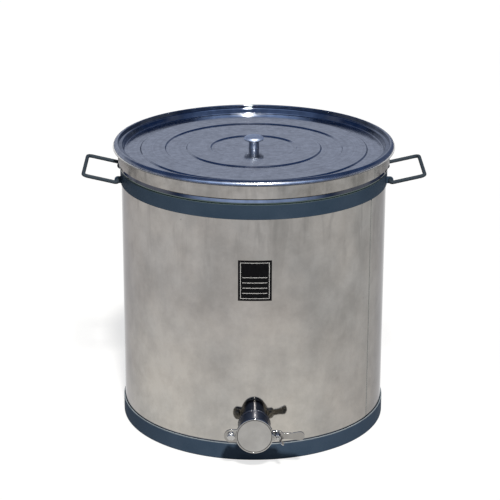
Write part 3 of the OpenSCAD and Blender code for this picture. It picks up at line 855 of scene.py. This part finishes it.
def fillet_weld():
    """Weld round the tube's root, following the curve of the wall, with a ripple round it."""
    points, fronts, backs = [], [], []
    in_tube = weld_sunk * 2
    lowest = base_high.z + weld_sunk
    for j in range(weld_around):
        a = TURN * j / weld_around
        ripple = rippled(a, weld_waves)
        section = []
        for i in range(weld_across + 1):
            b = TURN / 4 * i / weld_across
            reach = tube_r - in_tube + (weld_w * ripple + in_tube) * math.sin(b)
            section.append((reach, weld_h * ripple * math.cos(b) - weld_sunk))
        section += [section[-1], (section[0][0], -weld_sunk), section[0]]
        row = list(range(len(points), len(points) + len(section)))
        fronts.append(row[:weld_across + 1])
        backs.append(row[weld_across + 1:])
        for reach, rise in section:
            x = reach * math.cos(a)
            z = max(gate_z + reach * math.sin(a), lowest)
            points.append(Vector((x, -math.sqrt(tank_r ** 2 - x * x) - rise, z)))
    return points, skin(fronts + fronts[:1], False) + skin(backs + backs[:1], False), None


tube_steel = turned_steel("turned_tube_steel_dark_reflection", tube_dark_reflection_tones, tube_rough, 1.0)
tube_shape = lathed([
    (tube_bore, 0, tube_back_r), (tube_r, 0, tube_back_r),
    (tube_r, tube_length, tube_front_r), (tube_bore, tube_length, tube_front_r),
], gate_steps)
made("outlet_tube", at_gate(tube_shape, 0, tube_back), tube_steel, "tank", "gate_steel", "gate_tube")
outlet_weld = weld_metal("dark_weld_metal", dark_weld_tones)
made("outlet_weld", fillet_weld(), outlet_weld, "tank", "weld_steel", "gate_weld")

# Fixed flange of the gate: a turned ring on the end of the tube with two ears, one for the pivot bolt
# and one for the lock stud. A groove in its face holds the seal that the flap closes against.
flange_low, flange_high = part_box("gate_flange")
flange_back = -flange_high.y
flange_t = flange_high.y - flange_low.y
flange_r = 0.033
flange_edge = 0.0005
flange_ear_root = 0.0295
bore_edge = 0.0004
seal_low, seal_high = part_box("gate_seal")
seal_in = tube_r
seal_out = seal_high.x + fit
seal_depth = seal_high.y - seal_low.y
seal_floor = flange_t - seal_depth
seal_groove_edge = 0.0002
pivot_x = pivots["flap_swing"][0]
pivot_ear_r = 0.0109
pivot_bolt_r = 0.004
lock_x = pivots["wing_nut_turn"][0]
lock_ear_r = 0.0090
lock_stud_r = 0.003
gate_tones = (0.322, 0.315, 0.302), (0.385, 0.377, 0.362)
gate_rough = (0.12, 0.20)
gate_steel = turned_steel("polished_gate_steel", gate_tones, gate_rough)
flange_ring = lathed([
    (tube_bore, 0, bore_edge), (flange_r, 0, flange_edge), (flange_r, flange_t, flange_edge),
    (seal_out, flange_t, seal_groove_edge), (seal_out, seal_floor, seal_groove_edge),
    (seal_in, seal_floor, seal_groove_edge), (seal_in, flange_t, seal_groove_edge),
    (tube_bore, flange_t, bore_edge),
], gate_steps)
flange_flat = together(
    flange_ring,
    round_ended(pivot_x, pivot_ear_r, -flange_ear_root, pivot_bolt_r + fit, flange_t),
    round_ended(lock_x, lock_ear_r, flange_ear_root, lock_stud_r + fit, flange_t),
)
flange_shape = at_gate(flange_flat, 0, flange_back)
made("gate_flange_ring", flange_shape, gate_steel, "tank", "gate_steel", "gate_flange")

# Seal of the gate: a ring of milky silicone pressed into the flange's groove.
# It is seen only when the flap is swung up.
seal_back_r, seal_face_r = 0.0004, 0.0006
seal_tones = (0.60, 0.585, 0.53), (0.72, 0.71, 0.66)
milk_depth = 0.002


def silicone():
    """Milky silicone with a faint dust bloom."""
    return marked(
        "milky_silicone", seal_tones, None, (220.0, 3.0), (0.0001, 0.3),
        Roughness=0.45, Subsurface_Weight=0.15, Subsurface_Scale=milk_depth,
    )[0]


seal_ring = lathed([
    (seal_in + fit, 0, seal_back_r), (seal_out - fit, 0, seal_back_r),
    (seal_out - fit, seal_depth, seal_face_r), (seal_in + fit, seal_depth, seal_face_r),
], gate_steps)
seal_shape = at_gate(seal_ring, 0, -seal_high.y)
made("gate_seal_ring", seal_shape, silicone(), "tank", "seal_silicone", "gate_seal")

# Flap of the gate: a cast and polished plate. Its round face covers the bore and has a fine turned line near
# its edge, painted dark as shade in its groove. A lug on the left turns on the pivot bolt, and on the right
# an ear slotted for the lock stud runs on into the lever; lug, ear and lever are a little duller from wear.
flap_low, flap_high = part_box("gate_flap")
flap_back = -flap_high.y
flap_t = flap_high.y - flap_low.y
flap_r = 0.0345
flap_steps = 128
flap_bevel_w, flap_bevel_h = 0.0010, 0.0012
flap_back_r, flap_side_r, flap_face_r = 0.0005, 0.0006, 0.0008
ring_line_r = 0.0315
ring_line_half = 0.0006
ring_line_depth = 0.0009
ring_line_edge = 0.0001
ring_line_shaded_half = ring_line_half * 0.9
arm_t = flap_t - flap_bevel_h
arm_edge = 0.0006
arm_root = 0.010
arm_root_r = 0.0009
arm_worn_from = flap_r + 0.0002
pivot_lug_r = 0.0127
slot_ear_r = 0.0105
slot_ear_crown_r = 0.006
slot_half = 0.0032
slot_top_r = slot_half * 0.99
slot_mouth_r = 0.0012
slot_drift = 0.00065
flank_x = lock_x + 0.0065
flank_y = slot_ear_r * 0.93
flank_r = 0.004
neck_x = lock_x + slot_ear_r * 0.92
neck_half = 0.006
neck_r = 0.003
lever_end = flap_high.x
lever_half = 0.010
lever_corner = 0.008
flare_x = lever_end * 0.72
flare_r = 0.02
# Painted shade in the groove of the flap's ring line.
ring_line_shade_tones = (0.060, 0.052, 0.046), (0.095, 0.084, 0.074)
ring_line_shade_rough = (0.35, 0.45)
worn_tones = (0.250, 0.241, 0.226), (0.305, 0.294, 0.276)
worn_rough = (0.16, 0.24)
flap_disc = lathed([
    (0, 0, 0), (flap_r, 0, flap_back_r), (flap_r, arm_t, flap_side_r),
    (flap_r - flap_bevel_w, flap_t, flap_face_r), (ring_line_r + ring_line_half, flap_t, ring_line_edge),
    (ring_line_r, flap_t - ring_line_depth, ring_line_edge),
    (ring_line_r - ring_line_half, flap_t, ring_line_edge), (0, flap_t, 0),
], flap_steps, False)
lever_outline = rounded([
    (arm_root, -slot_ear_r, arm_root_r), (lock_x - slot_half - slot_drift, -slot_ear_r, slot_mouth_r),
    (lock_x - slot_half, slot_half, slot_top_r), (lock_x + slot_half, slot_half, slot_top_r),
    (lock_x + slot_half - slot_drift, -slot_ear_r, slot_mouth_r), (flank_x, -flank_y, flank_r),
    (neck_x, -neck_half, neck_r), (flare_x, -neck_half, flare_r),
    (lever_end, -lever_half, lever_corner), (lever_end, lever_half, lever_corner),
    (flare_x, neck_half, flare_r), (neck_x, neck_half, neck_r), (flank_x, flank_y, flank_r),
    (lock_x, slot_ear_r, slot_ear_crown_r), (arm_root, slot_ear_r, arm_root_r),
])
flap_flat = together(
    flap_disc,
    plate([lever_outline], arm_t, arm_edge),
    round_ended(pivot_x, pivot_lug_r, -arm_root, pivot_bolt_r + fit, arm_t),
)
flap_shape = at_gate(flap_flat, 0, flap_back)
flap_piece = made("gate_flap_plate", flap_shape, gate_steel, "gate_flap", "gate_steel", "gate_flap")
flap_piece.data.materials.append(turned_steel("shaded_ring_line", ring_line_shade_tones, ring_line_shade_rough))
flap_piece.data.materials.append(turned_steel("worn_arm_steel", worn_tones, worn_rough))
for face in flap_piece.data.polygons:
    reach = math.hypot(face.center.x, face.center.z - gate_z)
    # Painted shade: the faces of the ring line's groove take the dark finish.
    in_line = abs(reach - ring_line_r) < ring_line_shaded_half and len(face.vertices) == 4
    face.material_index = 1 if in_line else 2 if reach > arm_worn_from else 0

# Pivot bolt, washer and nut: the bright M8 bolt with a domed hexagon head that the flap turns on.
# The bolt passes the washer, the flap's lug and the flange's ear, and the nut locks it behind.
pivot_low, pivot_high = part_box("pivot_bolt")
washer_low, washer_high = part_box("pivot_washer")
pivot_nut_low, pivot_nut_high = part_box("pivot_nut")
pivot_head_from = -washer_low.y
pivot_head_h = -pivot_low.y - pivot_head_from
pivot_nut_h = pivot_nut_high.y - pivot_nut_low.y
head_flat = pivot_head_h * 0.72
dome_r = pivot_bolt_r * 1.52
dome_steps = 6
dome_sunk = 0.0005
in_head = 0.001
washer_t = 0.0012
washer_share = 2
washer_bore_r, washer_edge_r = 0.0002, 0.0003
small_steps = 48


def washer(bar_r, outside):
    """Flat washer for a bar, standing on z = 0."""
    bore = bar_r + fit
    return lathed([
        (bore, 0, washer_bore_r), (outside, 0, washer_edge_r),
        (outside, washer_t, washer_edge_r), (bore, washer_t, washer_bore_r),
    ], small_steps)


def dome(radius, low, height):
    """Low domed cap."""
    angles = [TURN / 4 * k / dome_steps for k in range(dome_steps + 1)]
    foot = [(0, low - dome_sunk, 0), (radius, low - dome_sunk, 0)]
    arc = [(radius * math.cos(a), low + height * math.sin(a), 0) for a in angles]
    return lathed(foot + arc, small_steps, False)


pivot_head = together(hexagon(pivot_bolt_r, head_flat), dome(dome_r, head_flat, pivot_head_h - head_flat))
pivot_bar_end, pivot_thread_from = pivot_head_from + pivot_high.y, pivot_head_from + pivot_nut_low.y
inward = Matrix.Translation((pivot_x, -pivot_head_from, gate_z)) @ Matrix.Rotation(-TURN / 4, 4, "X")
pivot_shape = together(
    at_gate(pivot_head, pivot_x, pivot_head_from),
    moved(shank(pivot_bolt_r, -in_head, pivot_bar_end, pivot_thread_from), inward),
)
made("pivot_bolt_piece", pivot_shape, fastener_steel, "tank", "fastener_steel", "pivot_bolt")
pivot_washer = at_gate(washer(pivot_bolt_r, pivot_bolt_r * washer_share), pivot_x, -washer_high.y)
made("pivot_washer_piece", pivot_washer, fastener_steel, "tank", "fastener_steel", "pivot_washer")
pivot_nut = at_gate(hexagon(pivot_bolt_r, pivot_nut_h, pivot_bolt_r + fit), pivot_x, -pivot_nut_high.y)
made("pivot_nut_piece", pivot_nut, fastener_steel, "tank", "fastener_steel", "pivot_nut")

# Lock stud, washer and wing nut: the M6 stud stands in the flange's ear, the flap's slotted ear drops
# over it, and the cast wing nut clamps the flap shut by hand.
stud_length = -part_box("lock_stud")[0].y - flange_back
stud_head_h = lock_stud_r * head_share
lock_washer_back = -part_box("lock_washer")[1].y
wing_low, wing_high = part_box("wing_nut")
wing_turn = math.radians(-48)
wing_span = 0.033
wing_h = wing_high.y - wing_low.y
wing_t = 0.0024
wing_edge = 0.0010
hub_h = 0.0080
hub_r = 0.0065
hub_top_r = 0.0055
hub_bore = lock_stud_r + fit
hub_bore_r, hub_foot_r, hub_crown_r, hub_mouth_r = 0.0003, 0.0006, 0.0010, 0.0004
wing_in = lock_stud_r + 0.0006
wing_in_low, wing_low_edge = 0.0008, 0.0006
wing_root_top = hub_h * 0.72
wing_root_r = 0.0012
wing_notch_x = hub_top_r - 0.0005
wing_notch_r = 0.0015
wing_belly_r = 0.002
wing_round = (wing_span / 2 - hub_top_r) / 2
wing_mid = wing_span / 2 - wing_round
wing_outer_z, wing_outer_r = wing_h - 2.4 * wing_round, 0.004
wing_inner_z, wing_inner_r = wing_h - 1.6 * wing_round, 0.003
wing_tip_r = wing_round * round_share
stud_shape = together(
    at_gate(hexagon(lock_stud_r, stud_head_h), lock_x, flange_back - stud_head_h),
    at_gate(shank(lock_stud_r, -in_head, stud_length, flange_t + arm_t), lock_x, flange_back),
)
made("lock_stud_piece", stud_shape, fastener_steel, "tank", "fastener_steel", "lock_stud")
lock_washer = at_gate(washer(lock_stud_r, lock_stud_r * washer_share), lock_x, lock_washer_back)
made("lock_washer_piece", lock_washer, fastener_steel, "wing_nut", "fastener_steel", "lock_washer")
hub = lathed([
    (hub_bore, 0, hub_bore_r), (hub_r, 0, hub_foot_r),
    (hub_top_r, hub_h, hub_crown_r), (hub_bore, hub_h, hub_mouth_r),
], small_steps)
wing_outline = rounded([
    (wing_in, wing_in_low, wing_root_r), (hub_r, wing_low_edge, wing_belly_r),
    (wing_mid + wing_round, wing_outer_z, wing_outer_r), (wing_mid + wing_round, wing_h, wing_tip_r),
    (wing_mid - wing_round, wing_h, wing_tip_r), (wing_mid - wing_round, wing_inner_z, wing_inner_r),
    (wing_notch_x, wing_root_top, wing_notch_r), (wing_in, wing_root_top, wing_root_r),
])
wing_plate = raised(plate([wing_outline], wing_t, wing_edge), -wing_t / 2)
wing = moved(wing_plate, Matrix.Rotation(TURN / 4, 4, "X"))
wings = together(hub, wing, moved(wing, Matrix.Rotation(TURN / 2, 4, "Z")))
wing_shape = at_gate(moved(wings, Matrix.Rotation(wing_turn, 4, "Z")), lock_x, -wing_high.y)
made("wing_nut_piece", wing_shape, gate_steel, "wing_nut", "gate_steel", "wing_nut")

# Label: a rectangle of black vinyl stuck to the front of the wall. It is printed with a thin pale
# frame and plain ruled lines to write on, and carries no words.
label_low, label_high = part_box("label_plate")
label_r = tank_r + fit
label_t = 0.0003
label_half = math.asin(label_high.x / (label_r + label_t))
film_steps = 24
film_edge_share = 0.3
print_t = 0.00003
print_in = label_r + label_t
print_out = print_in + print_t
frame_inset = 0.004
frame_half = label_half - frame_inset / label_r
frame_low, frame_high = label_low.z + frame_inset, label_high.z - frame_inset
line_t = 0.0012
line_angle = line_t / label_r
side_low, side_high = frame_low + line_t + print_t, frame_high - line_t - print_t
rule_inset = 0.004
rule_half = frame_half - rule_inset / label_r
rule_rises = (0.014, 0.024, 0.034, 0.044)
black_tones = (0.003, 0.003, 0.004), (0.006, 0.006, 0.007)
black_rough = (0.36, 0.50)
print_tones = (0.50, 0.50, 0.50), (0.62, 0.62, 0.61)
print_rough = (0.34, 0.48)


def vinyl(name, tones, roughness):
    """Printed vinyl film with faint scuffs."""
    scuffs = 300.0, 4.0, (1, 1, 0.3)
    return marked(name, tones, roughness, scuffs, (0.0001, 0.1), Specular_IOR_Level=0.05)[0]


def label_patch(start, end, low, high, inside=print_in, outside=print_out):
    """Patch of film or print on the wall, from one angle to another."""
    edge = (outside - inside) * film_edge_share
    corners = [(inside, low, edge), (outside, low, edge), (outside, high, edge), (inside, high, edge)]
    return lathed(corners, film_steps, True, FRONT + start, end - start)


film = label_patch(-label_half, label_half, label_low.z, label_high.z, label_r, print_in)
black_vinyl = vinyl("black_vinyl", black_tones, black_rough)
made("label_film", film, black_vinyl, "tank", "label_vinyl", "label_plate")
prints = [
    label_patch(-frame_half, frame_half, frame_low, frame_low + line_t),
    label_patch(-frame_half, frame_half, frame_high - line_t, frame_high),
    label_patch(-frame_half, -frame_half + line_angle, side_low, side_high),
    label_patch(frame_half - line_angle, frame_half, side_low, side_high),
]
for rise in rule_rises:
    rule_low = label_low.z + rise
    prints.append(label_patch(-rule_half, rule_half, rule_low, rule_low + line_t))
pale_print = vinyl("pale_print", print_tones, print_rough)
made("label_print", together(*prints), pale_print, "tank", "label_vinyl")

# Lid pan: one pressing of polished sheet. A flat disc with two raised rings sits down inside the tank,
# a short wall rises round it to a ledge on the rim, and the edge is rolled over a wire.
ledge_z = 0.5378
ledge_r = 0.0003
crease_r = 0.0001
edge_h = 0.0095
edge_w = 0.0108
edge_low = ledge_z - 0.0040
edge_high = edge_low + edge_h
edge_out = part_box("lid_pan")[1].x + 0.0002
edge_in = edge_out - edge_w
edge_lean = edge_h * math.tan(math.radians(12))
edge_foot_r = 0.0012
edge_top_r = 0.0085
edge_inner_r = 0.0017
crest_r = (edge_in + edge_out) / 2
disc_z = 0.5280
disc_r = 0.244
plug_top = 0.247
plug_foot_r = 0.002
plug_head_r = 0.0015
rib_h = 0.002
rib_side = 0.002
rib_edges = ((0.0817, 0.1254), (0.1674, 0.2120))
press_r = 0.0012
screw_hole = 0.0031
screw_hole_edge = 0.0002
lid_tones = (0.42, 0.425, 0.432), (0.72, 0.72, 0.718)
shade_tone = (0.050, 0.053, 0.058)
shade_low = edge_low + 0.0008
shade_high = shade_low + 0.0026
shade_from, shade_full = edge_in + 0.004, edge_in + 0.005
# Painted shade on the pan's wall and ledge, between the disc and the rolled edge.
corner_shade_shares = (0.50, 0.53, 0.58)
corner_from, corner_full = disc_r - 0.0006, disc_r + 0.0004
corner_last, corner_end = edge_in + 0.0008, edge_in + 0.0018
disc_rough = (0.12, 0.20)
wall_shine, shine_full = 0.075, disc_r + 0.002
handled_rough = 0.23
handled_from, handled_full = crest_r - 0.0026, crest_r - 0.0006
grain_strength, grain_last = 0.26, disc_r - 0.003


def pressed_sheet():
    """Polished pressing: mirror bright, with a fine speckle, faint swirls and the polishing wheel's rings.

    Painted shade darkens the wall and the ledge beside the rolled edge, whose crest is dulled by hands. Its
    underside is painted dark as shade.
    """
    material, shader = finish("pressed_lid_sheet", Metallic=1.0)
    speckle = noise(material, 95.0, 4.0)
    swirl = noise(material, 30.0, 5.0, (1, 1, 1), 0.68)
    place = place_on(material)
    flat = add(material, "ShaderNodeVectorMath", {0: place, 1: (1, 1, 0)}, operation="MULTIPLY").outputs[0]
    reach = add(material, "ShaderNodeVectorMath", {0: flat}, operation="LENGTH").outputs["Value"]
    rings = {"W": reach, "Scale": 190.0, "Detail": 3.0}
    wheel = add(material, "ShaderNodeTexNoise", rings, noise_dimensions="1D").outputs["Fac"]
    tone = mixed(material, mixed(material, speckle, swirl, 0.5), wheel, 0.17)
    colour = two_tone(material, tone, *lid_tones, 0.36)
    # Painted shade: the underside of the rolled edge is darkened.
    outside = spread(material, reach, 0.0, 1.0, shade_from, shade_full)
    under = spread(material, parts_of(material, place)["Z"], 1.0, 0.0, shade_low, shade_high)
    colour = blend(material, reckoned(material, "MULTIPLY", outside, under), colour, shade_tone)
    # Painted shade: the pan's wall and ledge between the disc and the rolled edge are darkened.
    past_disc = spread(material, reach, 0.0, 1.0, corner_from, corner_full)
    before_edge = spread(material, reach, 1.0, 0.0, corner_last, corner_end)
    corner = reckoned(material, "MULTIPLY", past_disc, before_edge)
    colour = blend(material, corner, colour, corner_shade_shares, "MULTIPLY")
    satin = spread(material, swirl, *disc_rough)
    bright = spread(material, reach, satin, wall_shine, disc_r, shine_full)
    handled = spread(material, reach, bright, handled_rough, handled_from, handled_full)
    feed(material, shader, Base_Color=colour, Roughness=handled)
    strength = spread(material, reach, grain_strength, 0.0, grain_last, disc_r)
    grain = mixed(material, swirl, speckle, 0.25)
    feed(material, shader, Normal=relief(material, grain, 0.0004, strength))
    return material


def disc_corners(z):
    """Corners of the disc with its two rings, from the screw hole out to the edge."""
    corners = [(screw_hole, z, screw_hole_edge)]
    for inner, outer in rib_edges:
        corners += [
            (inner - rib_side, z, press_r), (inner, z + rib_h, press_r),
            (outer, z + rib_h, press_r), (outer + rib_side, z, press_r),
        ]
    return corners


pan_shape = lathed(
    disc_corners(disc_z - sheet)
    + [
        (disc_r + sheet, disc_z - sheet, plug_foot_r + sheet), (plug_top + sheet, ledge_z, plug_head_r),
        (edge_in, ledge_z, crease_r), (edge_in, edge_low, edge_inner_r),
        (edge_out, edge_low, edge_foot_r), (edge_out - edge_lean, edge_high, edge_top_r),
        (edge_in, edge_high, edge_inner_r), (edge_in, ledge_z + sheet, ledge_r),
        (plug_top, ledge_z + sheet, plug_head_r + sheet), (disc_r, disc_z, plug_foot_r),
    ]
    + disc_corners(disc_z)[::-1],
    wall_steps,
)
made("lid_pressing", pan_shape, pressed_sheet(), "lid", "lid_steel", "lid_pan")

# Lid skirt: a strip of polished sheet welded round under the lid's edge. It hangs outside the rim and
# keeps the lid in place. Its ends meet in a ground weld in line with the wall's own seam.
skirt_low, skirt_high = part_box("lid_skirt")
skirt_r = skirt_high.x
skirt_foot_r, skirt_top_r = 0.0004, 0.0002
skirt_dark, skirt_light = (0.205, 0.199, 0.192), (0.405, 0.395, 0.384)
skirt_rough = (0.24, 0.34)
skirt_streaks_from, skirt_streaks_to = skirt_low.z + 0.008, skirt_low.z - 0.012
lid_seam_low, lid_seam_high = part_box("lid_seam")
skirt_shape = lathed([
    (skirt_r - sheet, skirt_low.z, skirt_foot_r), (skirt_r, skirt_low.z, skirt_foot_r),
    (skirt_r, skirt_high.z, skirt_top_r), (skirt_r - sheet, skirt_high.z, skirt_top_r),
], wall_steps)
# On the skirt the dark runs cover nearly its whole height as painted dark reflection streaks.
skirt_steel = polished_sheet(
    "polished_skirt", skirt_dark, skirt_light, skirt_rough, skirt_streaks_from, skirt_streaks_to,
)
made("skirt_sheet", skirt_shape, skirt_steel, "lid", "polished_steel", "lid_skirt")
skirt_seam = seam_strip(skirt_r, lid_seam_low.z, lid_seam_high.z)
made("skirt_weld_seam", skirt_seam, weld_steel, "lid", "weld_steel", "lid_seam")

# Knob of the lid: turned steel, with a buffed mushroom head, a slim stem that keeps its lathe grooves and
# a small foot. A screw comes up through the disc and a washer to hold it.
knob_low, knob_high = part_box("lid_knob")
knob_r = knob_high.x
knob_h = knob_high.z - knob_low.z
knob_steps = 72
foot_r = 0.0100
foot_h = 0.0012
foot_edge, foot_top_r = 0.0004, 0.0006
waist_r = 0.0096
waist_low, waist_high = 0.0045, knob_h * 0.60
waist_bend = 0.004
crown_low = knob_h * 0.75
crown_edge = 0.0005
crown_steps = 14
crown_fullness = 0.5
lip_r, lip_z = knob_r - 0.001, crown_low - 0.0018
lip_bend = 0.0012
head_from = knob_low.z + crown_low - 0.0004
# The stem's darker tone is a painted dark reflection, and the head's pale blue tone is a painted sky
# reflection.
stem_dark_reflection_tones = (0.34, 0.37, 0.43), (0.42, 0.45, 0.50)
stem_rough = (0.37, 0.43)
head_sky_reflection_tones = (0.72, 0.79, 0.89), (0.82, 0.88, 0.96)
head_rough = (0.47, 0.53)
screw_low, screw_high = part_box("knob_screw")
knob_washer_low, knob_washer_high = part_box("knob_washer")
screw_r = 0.003
screw_length = screw_high.z - screw_low.z
screw_thread_from = 0.008
screw_head_r = screw_high.x
screw_head_h = knob_washer_low.z - screw_low.z
screw_in_head = 0.0005
screw_rim_r, screw_seat_r = 0.0012, 0.0004


def knob_steel(name, tones, roughness, grooves):
    """Turned and buffed steel; where lathe grooves are left, they draw its highlight out along the axis."""
    material, shader = marked(
        name, tones, roughness, (260.0, 3.0),
        Metallic=1.0, Anisotropic=grooves, Anisotropic_Rotation=0.25,
    )
    around = add(material, "ShaderNodeTangent", direction_type="RADIAL", axis="Z")
    feed(material, shader, Tangent=around.outputs["Tangent"])
    return material


crown = []
for k in range(1, crown_steps):
    a = TURN / 4 * k / crown_steps
    crown_z = crown_low + (knob_h - crown_low) * math.sin(a)
    crown.append((knob_r * math.cos(a) ** crown_fullness, crown_z, 0))
knob_turned = lathed(
    [
        (0, 0, 0), (foot_r, 0, foot_edge), (foot_r, foot_h, foot_top_r),
        (waist_r, waist_low, waist_bend), (waist_r, waist_high, waist_bend),
        (lip_r, lip_z, lip_bend), (knob_r, crown_low, crown_edge),
    ]
    + crown + [(0, knob_h, 0)],
    knob_steps, False,
)
knob_shape = raised(knob_turned, knob_low.z)
# Painted reflection: one turned steel in two tones, the stem set dark and the head pale blue.
grooved_stem = knob_steel("grooved_knob_stem_darkened", stem_dark_reflection_tones, stem_rough, 0.85)
knob_piece = made("knob_piece", knob_shape, grooved_stem, "lid", "knob_chrome", "lid_knob")
knob_piece.data.materials.append(knob_steel("buffed_knob_head_sky_tinted", head_sky_reflection_tones, head_rough, 0.0))
for face in knob_piece.data.polygons:
    face.material_index = 1 if face.center.z > head_from else 0
screw_head = lathed([
    (0, 0, 0), (screw_head_r, 0, screw_rim_r), (screw_head_r, screw_head_h, screw_seat_r),
    (0, screw_head_h, 0),
], small_steps, False)
screw_bar = shank(screw_r, screw_head_h - screw_in_head, screw_length, screw_thread_from)
screw_shape = raised(together(screw_head, screw_bar), screw_low.z)
made("knob_screw_piece", screw_shape, fastener_steel, "lid", "fastener_steel", "knob_screw")
under_washer = raised(washer(screw_r, knob_washer_high.x), knob_washer_low.z)
made("knob_washer_piece", under_washer, fastener_steel, "lid", "fastener_steel", "knob_washer")

# Floor: a broad sheet of plain white board that the tank stands on. It runs out past every view, so the
# polished wall mirrors nothing but it, and it keeps the tank's shadow.
floor_half = 40.0
floor_sides = ((-1, -1), (1, -1), (1, 1), (-1, 1))
board_tones = (0.34, 0.34, 0.34), (0.36, 0.36, 0.36)
board_glow = 0.72
plain_white = (1, 1, 1, 1)


def shown_rays(material):
    """1 for rays that show a thing to the camera, straight, mirrored or through glass, and 0 for others."""
    rays = add(material, "ShaderNodeLightPath").outputs
    kinds = (rays[f"Is {kind} Ray"] for kind in ("Camera", "Glossy", "Transmission"))
    return reckoned(material, "ADD", *kinds)


def plain_board():
    """White board, hardly mottled, that shows itself a little brighter than the light on it alone would."""
    material, shader = marked(
        "white_board", board_tones, None, (3.0, 2.0),
        Roughness=0.9, Specular_IOR_Level=0.1, Emission_Color=plain_white,
    )
    glow = reckoned(material, "MULTIPLY", shown_rays(material), board_glow)
    feed(material, shader, Emission_Strength=glow)
    return material


floor_mesh = bpy.data.meshes.new("floor_board")
floor_corners = [(x * floor_half, y * floor_half, 0) for x, y in floor_sides]
floor_mesh.from_pydata(floor_corners, [], [(0, 1, 2, 3)])
floor_mesh.materials.append(plain_board())
floor_board = bpy.data.objects.new("floor_board", floor_mesh)
bpy.context.scene.collection.objects.link(floor_board)

# Light: one soft sun high behind the camera and a little to its right, and an even pale fill. Polished
# metal mirrors a plain deep blue surround instead, with a glow round the sun and a haze low at the back
# and the sides.
sun_height = math.radians(52)
sun_side = math.radians(6)
sun_from = Vector((
    math.sin(sun_side) * math.cos(sun_height),
    -math.cos(sun_side) * math.cos(sun_height),
    math.sin(sun_height),
))
sun_lamp = bpy.data.lights.new("soft_sun", "SUN")
sun_lamp.energy = 3.1
sun_lamp.angle = math.radians(5)
sun_lamp.color = (1.0, 0.972, 0.925)
soft_sun = bpy.data.objects.new("soft_sun", sun_lamp)
soft_sun.rotation_euler = sun_from.to_track_quat("Z", "Y").to_euler()
bpy.context.scene.collection.objects.link(soft_sun)
pale_fill = (0.112, 0.117, 0.127)
deep_blue = (0.019, 0.044, 0.125)
sun_glow = (0.58, 0.80, 1.32)
back_haze = (0.315, 0.352, 0.458)
side_haze = (0.240, 0.268, 0.350)
surround = bpy.data.worlds.new("surround")
surround.use_nodes = True
bpy.context.scene.world = surround
toward = parts_of(surround, add(surround, "ShaderNodeTexCoord").outputs["Generated"])


def eased(axis, start, end, low=0.0, high=1.0):
    """Smooth step of the surround from one level to another, along an axis."""
    inputs = {"Value": toward[axis], "From Min": start, "From Max": end, "To Min": low, "To Max": high}
    return add(surround, "ShaderNodeMapRange", inputs, interpolation_type="SMOOTHSTEP").outputs["Result"]


def tinted(sky, tone, *levels):
    """Surround with another tone laid over it where all the levels are high."""
    return blend(surround, reckoned(surround, "MULTIPLY", *levels), sky, tone)


sky = tinted(
    deep_blue, sun_glow,
    eased("Y", -0.62, -0.26, 1.0, 0.0), eased("Z", 0.35, 0.60, 0.18, 1.0), eased("Z", 0.84, 0.94, 1.0, 0.0),
)
sky = tinted(
    sky, back_haze,
    eased("X", 0.05, 0.30, 1.0, 0.24), eased("Y", 0.25, 0.60),
    eased("Z", 0.03, 0.12), eased("Z", 0.40, 0.56, 1.0, 0.0),
)
sky = tinted(
    sky, side_haze,
    eased("Y", -0.45, -0.15), eased("Y", 0.30, 0.55, 1.0, 0.0),
    eased("Z", 0.13, 0.20), eased("Z", 0.34, 0.46, 1.0, 0.0),
)
seen_sky = blend(surround, shown_rays(surround), pale_fill, sky)
surround.node_tree.links.new(seen_sky, surround.node_tree.nodes["Background"].inputs["Color"])

# Camera: a long lens on a tripod a little above the lid, a few steps in front of the gate.
# Its place, turn and lens are those of the photograph's own viewpoint.
view_place = (-0.0394, -3.4762, 1.5434)
view_pitch = math.radians(19.33)
view_turn = math.radians(0.54)
view_roll = math.radians(0.20)
lens = bpy.data.cameras.new("view")
lens.sensor_width = 36.0
lens.lens = 138.2
lens.clip_end = 200.0
aim = Vector((
    math.sin(view_turn) * math.cos(view_pitch),
    math.cos(view_turn) * math.cos(view_pitch),
    -math.sin(view_pitch),
))
level = Vector((math.cos(view_turn), -math.sin(view_turn), 0))
steep = level.cross(aim)
right = level * math.cos(view_roll) + steep * math.sin(view_roll)
up = steep * math.cos(view_roll) - level * math.sin(view_roll)
view = bpy.data.objects.new("view", lens)
view.matrix_world = Matrix.Translation(view_place) @ Matrix((right, up, -aim)).transposed().to_4x4()
bpy.context.scene.collection.objects.link(view)
bpy.context.scene.camera = view
bpy.context.scene.view_settings.view_transform = "Standard"
